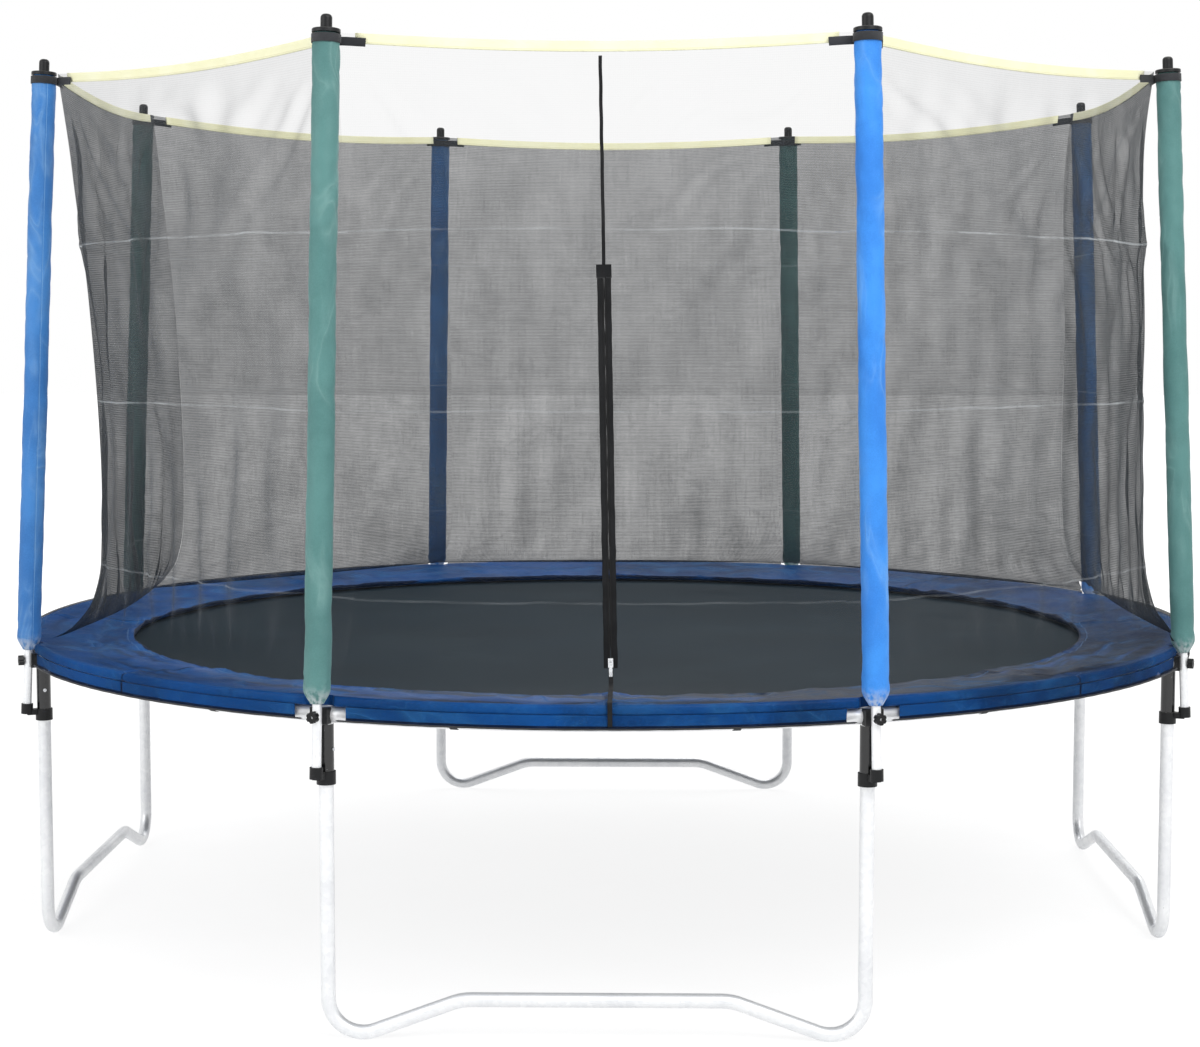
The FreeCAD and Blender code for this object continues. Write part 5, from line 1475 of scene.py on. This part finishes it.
@dataclass
class SafetyNet:
    """The hung net: nine sheets between the poles, the top band, the straps and the hem cord."""

    top: float = 2.5781
    sag: float = 0.025
    corner: float = 1.7337
    waist: float = 1.660
    middle: float = 1.605
    edge: float = 1.8409
    hem: float = 0.8432
    foot: float = 0.960
    brow: float = 0.9046
    notch: float = 0.042
    half_width: float = 0.66
    zip_foot: float = 0.036
    zip_lean: float = 1.0
    rows: int = 132
    columns: int = 84
    slack: tuple[float, ...] = (1.0, 1.0, 1.0, 0.5, 0.5, 0.5, 1.5, 1.5)
    mesh: Finish = NetMesh("knitted_net")
    band_cloth: Finish = BandCloth("band_cloth")
    strap: Finish = Webbing("strap_webbing")
    cord_cloth: Finish = Webbing("hem_cord_braid", pitch=0.0011)

    def levels(self) -> list[tuple[float, float, float, float, bool]]:
        """The net's shape as rings from its hem to its top.

        Returns:
            Each ring's radius at a pole and mid panel, its height at both, and whether the panel is
            straight between the poles there.
        """
        rise, waist, middle, foot = self.top - self.foot, self.waist, self.middle, self.foot
        edge, brow, in_reach = self.edge, self.brow, self.corner - self.waist
        flat = self.corner * math.cos(math.radians(HALF))
        low = [(waist + 0.122, middle + 0.010, foot - 0.037), (waist + 0.090, middle, foot - 0.012),
               (waist + 0.034, middle, foot + 0.062), (waist + 0.008, middle, foot + 0.11 * rise),
               (waist, middle, foot + 0.31 * rise), (waist + 0.1 * in_reach, middle, foot + 0.58 * rise),
               (waist + 0.52 * in_reach, middle, foot + 0.83 * rise)]
        return [(edge, edge, self.hem, self.hem, False), (edge, edge, brow - 0.005, brow - 0.005, False),
                (edge - 0.004, edge - 0.004, brow, brow, False),
                (waist + 0.140, middle + 0.035, brow + 0.007, brow + 0.009, False),
                *((at_pole, at_middle, height, height, True) for at_pole, at_middle, height in low),
                (self.corner, flat, self.top, self.top - self.sag, True)]

    def profile(self, angle: np.ndarray) -> tuple[np.ndarray, np.ndarray]:
        """The rings' radius and height at angles off a panel's middle.

        The share 1 - (a / half)^2 takes each ring from its pole value to its mid value; a straight
        ring starts from the chord r cos(half) / cos(a).

        Args:
            angle: angles off the panel's middle, in degrees.

        Returns:
            Two arrays of rings by angles.
        """
        share = 1.0 - (angle / HALF) ** 2
        chord = math.cos(math.radians(HALF))
        flat = chord / np.cos(np.radians(angle))
        radii, heights = [], []
        for corner, middle, corner_height, middle_height, straight in self.levels():
            heights.append(corner_height + (middle_height - corner_height) * share)
            radii.append(corner * flat + (middle - corner * chord) * share if straight
                         else corner + (middle - corner) * share)
        return np.array(radii), np.array(heights)

    def spline(self, values: np.ndarray, knots: np.ndarray, at: np.ndarray) -> np.ndarray:
        """A smooth line through rings: cubic pieces whose slope at a ring is the harmonic mean of
        the chords beside it, or 0 where they turn, so that no piece overshoots.

        Args:
            values: rings by angles.
            knots: each ring's place along the line.
            at: the places to look up.

        Returns:
            Places by angles.
        """
        step = np.diff(knots)[:, None]
        chord = np.diff(values, axis=0) / step
        slope = np.zeros_like(values)
        same = chord[1:] * chord[:-1] > 0.0
        harmonic = 2.0 * chord[1:] * chord[:-1] / np.where(same, chord[1:] + chord[:-1], 1.0)
        slope[1:-1] = np.where(same, harmonic, 0.0)
        slope[0], slope[-1] = chord[0], chord[-1]
        index = np.clip(np.searchsorted(knots, at, side="right") - 1, 0, len(knots) - 2)
        wide = step[index]
        t = (at - knots[index])[:, None] / wide
        return ((2 * t ** 3 - 3 * t ** 2 + 1) * values[index]
                + (t ** 3 - 2 * t ** 2 + t) * wide * slope[index]
                + (3 * t ** 2 - 2 * t ** 3) * values[index + 1] + (t ** 3 - t ** 2) * wide * slope[index + 1])

    def places(self) -> np.ndarray:
        """The rows' shares up a sheet: even ones, and more of them where it bends over the pad."""
        bends = np.array([0.004, 0.010, 0.028, 0.033, 0.036, 0.040, 0.046, 0.055])
        return np.unique(np.concatenate([np.linspace(0.0, 1.0, self.rows), bends]))

    def sheet_shape(self, angle: np.ndarray, place: np.ndarray) -> tuple[np.ndarray, np.ndarray]:
        """The unwrinkled net.

        Args:
            angle: angles off the panel's middle, in degrees.
            place: shares up the sheet.

        Returns:
            The radius and the height, places by angles.
        """
        radii, heights = self.profile(angle)
        middle = len(angle) // 2
        knots = run_along(np.stack([radii[:, middle], heights[:, middle]], axis=-1))
        return self.spline(radii, knots, place * knots[-1]), self.spline(heights, knots, place * knots[-1])

    def folds(self, x: np.ndarray, z: np.ndarray, seed: int, slack: float) -> np.ndarray:
        """How far the net stands off its smooth shape, outwards.

        Tension folds fan out of both top corners, as sin of the angle about the corner; soft
        upright folds, a low gather over the pad and slow lumps are added, and the three packing
        creases stand as small tents. All of it fades out at the poles, the top and the hem.

        Args:
            x: distance along the panel from its middle, in metres.
            z: height, in metres.
            seed: the panel's own seed.
            slack: how loosely the panel hangs, about 1.

        Returns:
            The stand-off.
        """
        total = np.zeros_like(x)
        for sign in (-1.0, 1.0):
            dx, dz = self.half_width - sign * x, self.top - z
            far = np.hypot(dx, dz)
            turn = np.arctan2(dx, dz) + 0.10 * Ripple(seed + 3, 0.5).at(x, z)
            fan = np.sin(turn * 17.0 + seed + sign) * 0.6 + np.sin(turn * 29.0 + 2.0 * seed) * 0.4
            near = smooth_step(0.02, 0.22, far) * smooth_step(1.35, 0.35, far)
            total += 0.0085 * min(slack, 1.0) * fan * near
        upright = np.sin(TAU * x / 0.16 + 1.3 * Ripple(seed, 0.9, stretch=2.5).at(x, z) + seed)
        total += 0.006 * slack * upright * smooth_step(1.9, 1.2, z) * smooth_step(0.93, 1.05, z)
        gather = np.sin(TAU * x / 0.083 + 0.9 * Ripple(seed + 7, 0.4).at(x, z))
        total += 0.0045 * slack * gather * bump_at(z, 0.985, 0.055)
        total += 0.0080 * slack * Ripple(seed + 11, 0.42, stretch=1.7).at(x, z)
        total += 0.0035 * Ripple(seed + 13, 0.16, stretch=1.5).at(x, z)
        for crease in PACKED_AT:
            total += 0.0035 * np.maximum(0.0, 1.0 - np.abs(z - crease) / 0.016)
        fade = smooth_step(self.half_width, 0.50, np.abs(x)) * smooth_step(0.922, 1.00, z)
        return total * fade * smooth_step(self.top - 0.035, self.top - 0.20, z)

    def drift(self, angle: np.ndarray, radius: np.ndarray, height: np.ndarray) -> np.ndarray:
        """How far the net hangs off its round shape: slack on the left, drawn tight on the right.

        It follows sin(a), eased in from the front and the back, and fades out towards the top and
        towards the pad's outer edge.

        Args:
            angle: angles round the frame, in degrees.
            radius: the smooth net's radii.
            height: its heights.

        Returns:
            The change of the radii.
        """
        turn = np.sin(np.radians(angle))
        side = turn * smooth_step(0.10, 0.50, np.abs(turn))
        left = 0.038 * smooth_step(2.35, 1.25, height)
        right = 0.062 * smooth_step(2.50, 1.75, height) * (1.0 + 0.15 * smooth_step(1.3, 1.0, height))
        return side * np.where(side < 0.0, left, right) * smooth_step(1.838, 1.76, radius)

    def notched(self, patch: Patch) -> tuple[Patch, np.ndarray]:
        """Cut the net out round the poles' feet, as the pad under it is.

        Faces that lie inside a pole's notch go. A point that is left inside it moves straight away
        from the pole's axis to the notch's wall.

        Args:
            patch: the whole sheet.

        Returns:
            The cut sheet, and which of the old points it keeps.
        """
        points, inside = patch.points.copy(), np.zeros(len(patch.points), bool)
        for station in STATIONS:
            foot, _, _, axis = PoleLine(station).frame()
            along = (points - foot) @ axis
            line = foot + along[:, None] * axis
            away = points - line
            far = np.linalg.norm(away, axis=1)
            hit = (far < self.notch) & (along < NOTCH_TOP)
            inside |= hit
            wall = line + away * (self.notch / np.maximum(far, 1e-6))[:, None]
            points = np.where(hit[:, None], wall, points)
        kept = ~inside[patch.faces].all(axis=1)
        used, faces = np.unique(patch.faces[kept], return_inverse=True)
        return Patch(points[used], faces.reshape(-1, 4), patch.corners[kept]), used

    def zip_x(self, height: np.ndarray) -> np.ndarray:
        """The zip's line: x = zip_foot - (z - foot) tan(zip_lean)."""
        return self.zip_foot - (height - self.foot) * math.tan(math.radians(self.zip_lean))

    def zip_angle(self, height: np.ndarray, radius: np.ndarray) -> np.ndarray:
        """The angle of the zip's line at a height, on a net of that radius."""
        return np.degrees(np.arcsin(self.zip_x(height) / radius))

    def panel(self, number: int, middle: float, start: float, end: float, side: str = "") -> None:
        """Make one sheet of the net.

        Args:
            number: the panel's number from the front, 1 to 8.
            middle: the angle of the panel's middle.
            start: where the sheet starts, in degrees off the middle.
            end: where it ends.
            side: for the front panel, "left" or "right" of the zip.
        """
        count = self.columns // 2 + 4 if side else self.columns
        angle = np.linspace(start, end, count)
        radius, height = self.sheet_shape(angle, self.places())
        turned = np.broadcast_to(angle, radius.shape)
        if side:
            zipped = (height > 0.951) & (height < 1.978)
            gap = np.degrees(np.where(zipped, 0.0075, 0.0003) / radius)
            line = self.zip_angle(height, radius)
            ease = (angle - angle[0]) / (angle[-1] - angle[0])
            if side == "left":
                turned = start + (line[:, -1:] - gap[:, -1:] - start) * ease
            else:
                near = line[:, :1] + gap[:, :1]
                turned = near + (end - near) * ease
        radius = radius + self.drift(turned + middle, radius, height)
        x = np.radians(turned) * 1.64
        smooth = polar(turned + middle, radius, height)
        off = self.folds(x, height, 10 * number, self.slack[number - 1])
        if side:
            off = off * smooth_step(0.012, 0.10, np.abs(x - self.zip_x(height)))
        points = polar(turned + middle, radius + off, height)
        patch, used = self.notched(grid_patch(points, x, run_along(smooth[:, count // 2])))
        name = f"net_panel_{number}" + (f"_{side}" if side else "")
        piece = make_piece(name, [patch], [self.mesh.make()], sharp=180.0)
        # Painted shade for the net's material: the folds' slope across plus their slope up, kept as "fold".
        tilt = (np.gradient(off, axis=1) / np.gradient(x, axis=1)
                + np.gradient(off, axis=0) / np.gradient(height, axis=0))
        mark(piece, "fold", np.clip(tilt * 2.2, -1.0, 1.0).ravel()[used])
        settle(piece, "frame", "net_mesh", "safety_net")

    def band(self) -> None:
        """Make the yellow band: one strip a panel, folded over the net's top edge.

        The section is two straight leaves 25 mm long joined by a half round of 2 mm radius, carried
        along the net's sagging edge. A slow wave lets the leaves stand off by up to a millimetre.
        """
        half = HALF - math.degrees(0.050 / self.corner)
        angle = np.linspace(-half, half, 61)
        radii, heights = self.profile(angle)
        top = np.stack([radii[-1], heights[-1]], axis=-1)
        down = np.stack([radii[-2], heights[-2]], axis=-1) - top
        down = down / np.linalg.norm(down, axis=-1, keepdims=True)
        out = np.stack([-down[:, 1], down[:, 0]], axis=-1)
        leaf = np.linspace(0.025, 0.0, 7)
        turn = np.radians(np.linspace(15.0, 165.0, 6))
        away = np.concatenate([np.full(7, 1.0), np.cos(turn), np.full(7, -1.0)])
        fall = np.concatenate([leaf, -0.0017 * np.sin(turn), leaf[::-1]])
        run = run_along(np.stack([away * 0.0015, fall], axis=-1))
        arc = np.radians(angle) * self.corner
        patches = []
        for index, middle in enumerate(PANELS):
            stand = away[:, None] * (0.0014 + 0.0004 * Ripple(70 + index, 0.12).at(arc))
            place = top + out * stand[..., None] + down * fall[:, None, None]
            points = polar(angle + middle, place[..., 0], place[..., 1])
            u, v = np.broadcast_arrays(run[:, None], arc + 3.0 * index)
            patches.append(grid_patch(points, u, v))
        piece = make_piece("top_band_tape", patches, [self.band_cloth.make()], sharp=80.0)
        thick = piece.modifiers.new("thickness", "SOLIDIFY")
        thick.thickness, thick.offset = 0.0007, 0.0
        settle(piece, "frame", "yellow_band", "net_top_band")
        length = 8 * float(run_along(polar(angle, top[:, 0], top[:, 1]))[-1])

    def straps(self) -> None:
        """Make the webbing: a hoop round the top of each sleeve and two tails on the band's ends."""
        outline = strap_outline(0.022, 0.0022)
        turn = np.linspace(0.0, TAU, 49)
        patches = []
        for index, station in enumerate(STATIONS):
            foot, side, across, axis = PoleLine(station).frame()
            way = np.cos(turn)[:, None] * side + np.sin(turn)[:, None] * across
            patches.append(carry(outline, foot + way * 0.0366 + axis * 1.865, -axis, -way, capped=False))
            patches += [self.tail(station, sign, index, outline) for sign in (-1.0, 1.0)]
        piece = make_piece("net_strap_webbing", patches, [self.strap.make()], sharp=60.0, weld=True)
        settle(piece, "frame", "webbing", "net_straps")

    def tail(self, station: float, sign: float, index: int, outline: np.ndarray) -> Patch:
        """One tail: it leaves the hoop, lies along the band's outside and ends in a folded tab.

        Args:
            station: the pole's angle.
            sign: which side of the pole.
            index: the pole's number, which shifts the tail's wave.
            outline: the strap's section.

        Returns:
            The patch.
        """
        radial, round_way = compass(station)
        turn, t = math.radians(HALF), np.linspace(0.0, 1.0, 22)
        along = sign * math.cos(turn) * round_way - math.sin(turn) * radial
        out = sign * math.sin(turn) * round_way + math.cos(turn) * radial
        lift = 0.0045 + 0.0010 * np.sin(7.0 * t + index) * t + 0.0012 * smooth_step(0.8, 1.0, t)
        centre = (radial * self.corner + along * (0.084 * t - 0.004)[:, None] + out * lift[:, None]
                  + UP * (2.5554 - 0.004 * t ** 2)[:, None])
        return carry(outline, centre, np.cross(out, flow_of(centre)))

    def cord(self) -> None:
        """Make the hem's elastic cord: a twisted round cord in eight lengths along the pad's edge.

        The section's radius is 2.35 mm (1 + 0.08 cos(3 (theta - twist))), turned along the path.
        """
        half = HALF - math.degrees((self.notch + 0.005) / RAIL_RADIUS)
        theta = np.arange(9) * TAU / 9
        patches = []
        for index, middle in enumerate(PANELS):
            angle = middle + np.linspace(-half, half, 190)
            arc = np.radians(angle) * 1.8434
            size = 0.00235 * (1.0 + 0.08 * np.cos(3.0 * (theta - arc[:, None] * TAU / 0.024)))
            size = size * np.minimum(1.0, 0.05 + np.minimum(arc - arc[0], arc[-1] - arc) / 0.002)[:, None]
            sway = 0.00018 * Ripple(90 + index, 0.2).at(arc)[:, None]
            height = 0.8402 + sway - size * np.sin(theta)
            points = polar(angle[:, None], 1.8434 + size * np.cos(theta), height)
            patches.append(grid_patch(points, np.arange(10) * 0.0157 / 9, arc, wrap=True, flip=True))
        piece = make_piece("hem_cord_braided", patches, [self.cord_cloth.make()], sharp=80.0)
        settle(piece, "frame", "webbing", "net_hem_cord")

    def build(self) -> None:
        """Make the band, the straps and the cord, then the nine sheets that hang from them."""
        self.band()
        self.straps()
        self.cord()
        self.panel(1, 0.0, -HALF, 0.0, "left")
        self.panel(1, 0.0, 0.0, HALF, "right")
        for number in range(2, 9):
            self.panel(number, PANELS[number - 1], -HALF, HALF)


@dataclass
class ZipDoor:
    """The zip in the front panel: two tapes, their teeth, the end stops and the seams above and below."""

    foot: float = 0.960
    foot_x: float = 0.036
    depth: float = 1.605
    lean: float = 1.0
    length: float = 1.0
    tape: float = 0.0165
    gap: float = 0.0013
    pitch: float = 0.0040
    tape_cloth: Finish = Webbing("zip_tape_cloth", colour=linear(13, 14, 15), thread=linear(34, 35, 38),
                                 pitch=0.0009, sheen=0.02)
    teeth_finish: Finish = MouldedPlastic("zip_teeth", colour=linear(11, 11, 12),
                                          rubbed=linear(50, 52, 55), rough=0.55)

    def at(self, x: np.ndarray, out: np.ndarray, up: np.ndarray) -> np.ndarray:
        """Points in the zip's own leaning frame: x across, out of the net, and up its length."""
        lean = math.radians(self.lean)
        x, out, up = np.broadcast_arrays(x, out, up)
        return np.stack([self.foot_x + x * math.cos(lean) - up * math.sin(lean), -out - self.depth,
                         self.foot + x * math.sin(lean) + up * math.cos(lean)], axis=-1)

    def strip(self, near: float, far: float, low: float, high: float, stand: float, thick: float,
              count: int, seed: int) -> Patch:
        """A cloth strip with rounded edges and a slight wave.

        Args:
            near: its edge next to the zip's line.
            far: its other edge.
            low: where it starts.
            high: where it ends.
            stand: how far its middle lies out of the net.
            thick: its thickness.
            count: rows along it.
            seed: its wave's seed.

        Returns:
            The patch.
        """
        up = np.linspace(low, high, count)
        wave = 0.0004 * Ripple(seed, 0.07).at(up)
        lean = math.radians(self.lean)
        return carry(strap_outline(abs(far - near), thick),
                     self.at((near + far) / 2.0 + wave, stand + 0.5 * wave, up),
                     np.array([math.cos(lean), 0.0, math.sin(lean)]), np.array([0.0, 1.0, 0.0]))

    def teeth(self) -> Patch:
        """Both rows of teeth: each tooth is a small tapered block of six faces, set in turn.

        Returns:
            One patch with all the blocks' points and faces.
        """
        count = int(self.length / self.pitch)
        corner = np.array([(0.0, -1.0, -1.0), (1.0, -0.7, -0.8), (1.0, 0.7, -0.8), (0.0, 1.0, -1.0),
                           (0.0, -1.0, 1.0), (1.0, -0.7, 0.8), (1.0, 0.7, 0.8), (0.0, 1.0, 1.0)])
        quads = np.array([(0, 3, 2, 1), (4, 5, 6, 7), (0, 1, 5, 4), (1, 2, 6, 5), (2, 3, 7, 6), (3, 0, 4, 7)])
        points, faces = [], []
        for side in (-1.0, 1.0):
            up = (np.arange(count) + (0.5 if side > 0 else 0.0)) * self.pitch + 0.002
            block = self.at(side * (0.0047 - corner[:, 0] * 0.0040), 0.0015 + corner[:, 2] * 0.0014,
                            up[:, None] + corner[:, 1] * self.pitch * 0.38)
            turned = quads[:, ::-1] if side > 0 else quads
            start = 8 * count * len(points)
            points.append(block.reshape(-1, 3))
            faces.append((np.arange(count)[:, None, None] * 8 + turned + start).reshape(-1, 4))
        every = np.concatenate(faces)
        return Patch(np.concatenate(points), every, np.zeros((len(every), 4, 2)), 1)

    def foot_seam(self) -> Patch:
        """The bound seam under the zip: a tape 12 mm wide that lies on the net down to its hem.

        Returns:
            The patch, carried along the edge of the net's front panel.
        """
        net = SafetyNet()
        radii, heights = net.sheet_shape(np.linspace(-HALF, 0.0, net.columns // 2 + 4), net.places()[::-1])
        row = np.arange(len(heights))
        start, end = np.interp([0.0087 - self.foot, -0.8465], -heights[:, -1], row)
        at = np.linspace(start, end, 90)
        radius, height = np.interp(at, row, radii[:, -1]), np.interp(at, row, heights[:, -1])
        centre = polar(net.zip_angle(height, radius), radius, height)
        side = np.array([1.0, 0.0, 0.0])
        ups = np.cross(flow_of(centre), side)
        return carry(strap_outline(0.012, 0.0014), centre + ups * 0.0020, side, ups)

    def build(self) -> None:
        """Make the zip as one piece that stays on the net."""
        near, far, end = 0.0002, self.gap + self.tape, self.length
        patches = [self.strip(near, far, 0.0, end, 0.0015, 0.0011, 120, 5),
                   self.strip(-far, -near, 0.0, end, 0.0015, 0.0011, 120, 6),
                   self.teeth(),
                   self.strip(-0.0045, 0.0045, -0.0083, -0.0003, 0.0015, 0.0030, 5, 7),
                   self.strip(-0.0195, 0.0195, end + 0.0003, end + 0.0345, 0.0030, 0.0012, 8, 10),
                   self.strip(-0.0045, 0.0045, end + 0.0006, 1.5580, 0.0014, 0.0010, 70, 9),
                   self.foot_seam()]
        piece = make_piece("zip_tape_and_teeth", patches, [self.tape_cloth.make(), self.teeth_finish.make()],
                           sharp=45.0, weld=True)
        settle(piece, "frame", "zip_tape", "zip_tapes")


@dataclass
class JumpingMat:
    """The woven mat with its folded edge webbing and the 72 loops that hold the rings."""

    radius: float = 1.590
    cells: int = 92
    cloth: Finish = MatCloth("mat_cloth")
    webbing: Finish = Webbing("mat_edge_webbing", colour=linear(24, 25, 28), thread=linear(66, 68, 72),
                              pitch=0.0019)

    def disc(self) -> np.ndarray:
        """A square grid pressed into a disc: (x sqrt(1 - y*y/2), y sqrt(1 - x*x/2)) times the radius.

        The sheet dips by a shallow bowl of 3 mm and is drawn up by a hair at each loop.

        Returns:
            The grid's points.
        """
        side = np.linspace(-1.0, 1.0, self.cells + 1)
        x, y = np.meshgrid(side, side)
        px = self.radius * x * np.sqrt(1.0 - y * y / 2.0)
        py = self.radius * y * np.sqrt(1.0 - x * x / 2.0)
        far, turn = np.hypot(px, py), np.arctan2(px, -py)
        dip = -0.0030 * (1.0 - (far / self.radius) ** 2) + 0.0004 * Ripple(61, 0.35).at(px, py)
        pull = 0.0005 * np.cos(72.0 * turn) * smooth_step(self.radius - 0.10, self.radius, far)
        return np.stack([px, py, LEVEL + 0.0003 + dip + pull], axis=-1)

    def edge(self) -> list[Patch]:
        """The webbing folded over the mat's edge, as a strap section carried round above and below.

        Returns:
            The upper and the lower strap.
        """
        turn = np.linspace(0.0, 360.0, 577)
        radial = polar(turn, 1.0, 0.0)
        patches = []
        for sign in (1.0, -1.0):
            lift = LEVEL + sign * 0.00175 + 0.0002 * np.cos(np.radians(turn) * 72.0)
            centre = polar(turn, self.radius - 0.0195, lift)
            patches.append(carry(strap_outline(0.0405, 0.0008), centre, radial, -UP, capped=False))
        return patches

    def loops(self) -> list[Patch]:
        """The loops: a strap carried from under the webbing, round the ring's wire and back on top.

        Returns:
            One strap for each of the 72 springs.
        """
        turn = np.radians(np.linspace(-90.0, 90.0, 9))
        lead = 1.5600 + 0.0334 * np.linspace(0.0, 1.0, 4)[:-1]
        radius = np.concatenate([lead, 1.5934 + 0.0028 * np.cos(turn), lead[::-1]])
        height = np.concatenate([np.full(3, -0.0028), 0.0028 * np.sin(turn), np.full(3, 0.0028)])
        return [carry(strap_outline(0.026, 0.0010), polar(angle, radius, LEVEL + height), compass(angle)[1])
                for angle in np.arange(72) * 5.0]

    def build(self) -> None:
        """Make the sheet, its edge and its loops, all on the mat's own body."""
        side = np.linspace(-self.radius, self.radius, self.cells + 1)
        mat = make_piece("mat_sheet", [grid_patch(self.disc(), side, side)], [self.cloth.make()], sharp=180.0)
        settle(mat, "mat", "mat_fabric", "jumping_mat")
        edge = make_piece("mat_edge_band", self.edge(), [self.webbing.make()], sharp=60.0, weld=True)
        settle(edge, "mat", "webbing", "mat_webbing")
        loops = make_piece("mat_ring_loops", self.loops(), [self.webbing.make()], sharp=60.0, weld=True)
        settle(loops, "mat", "webbing", "mat_loops")


@dataclass
class SpringRing:
    """Seventy-two coil springs between the mat's rings and the rail, in 24 groups of three."""

    wire: float = 0.0016
    tip: float = 1.6172
    start: float = 1.6372
    end: float = 1.7750
    coil: float = 0.0109
    turns: int = 41
    steps: int = 9
    steel: Finish = PlatedSteel("spring_steel", bright=linear(214, 217, 221), dark=linear(120, 123, 130))

    def spring(self, angle: float) -> list[Patch]:
        """One spring: a hook round the ring, a helix (c cos wt, c sin wt) along it, a hook in the rail.

        The hooks are wire in the upright plane through the spring, as radius and height pairs.

        Args:
            angle: its angle round the frame.

        Returns:
            Its three lengths of wire.
        """
        radial, side = compass(angle)
        tip, start, end, coil = self.tip, self.start, self.end, self.coil
        turn = np.radians(np.linspace(270.0, 90.0, 7))
        bend = np.stack([tip + 0.0039 * np.cos(turn), 0.0039 * np.sin(turn)], axis=-1)
        first = np.concatenate([[(tip + 0.0038, -0.0039)], bend,
                                [(start - 0.008, 0.0039), (start - 0.003, 0.0066), (start + 0.0016, coil)]])
        last = np.array([(end - 0.0016, coil), (end + 0.002, 0.0082), (end + 0.005, 0.0025),
                         (end + 0.009, 0.0), (1.7915, 0.0), (1.7930, -0.0012), (1.7932, -0.0070)])
        t = np.linspace(0.0, 1.0, self.turns * self.steps + 1)[:, None]
        phase = math.pi / 2 + t * self.turns * TAU
        way = np.cos(phase) * side + np.sin(phase) * UP
        centre = radial * (start + 0.0016 + t * (end - start - 0.0032)) + UP * LEVEL + way * coil
        hooks = [carry(round_outline(self.wire, 5), radial * hook[:, :1] + UP * (hook[:, 1:] + LEVEL), side)
                 for hook in (first, last)]
        return [hooks[0], carry(round_outline(self.wire, 4), centre, way), hooks[1]]

    def build(self) -> None:
        """Make the groups, each of three springs between the frame and the mat."""
        for group in range(24):
            angles = [(group * 3 + step - 1) * 5.0 for step in range(3)]
            patches = [patch for angle in angles for patch in self.spring(angle)]
            piece = make_piece(f"spring_group_{group + 1:02d}", patches, [self.steel.make()], sharp=80.0)
            if group == 0:
                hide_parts("springs")
            way, up = compass(angles[1])[0], UP * LEVEL
            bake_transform(piece)
        LOG.info("24 spring groups between frame and mat")


@dataclass
class Trampoline:
    """The whole object: every sub-assembly, in the order in which it is put together."""

    parts: list[object] = field(default_factory=lambda: [
        TubeFrame(), JumpingMat(), SpringRing(), SpringCover(), SleeveSet(), SafetyNet(), ZipDoor()])

    def build(self) -> None:
        """Build each sub-assembly."""
        for part in self.parts:
            LOG.info("building %s", type(part).__name__)
            part.build()


def main() -> None:
    logging.basicConfig(level=logging.INFO, format="%(name)s: %(message)s")
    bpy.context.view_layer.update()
    Studio().build()
    Trampoline().build()
    bpy.context.view_layer.update()


if __name__ == "__main__":
    main()
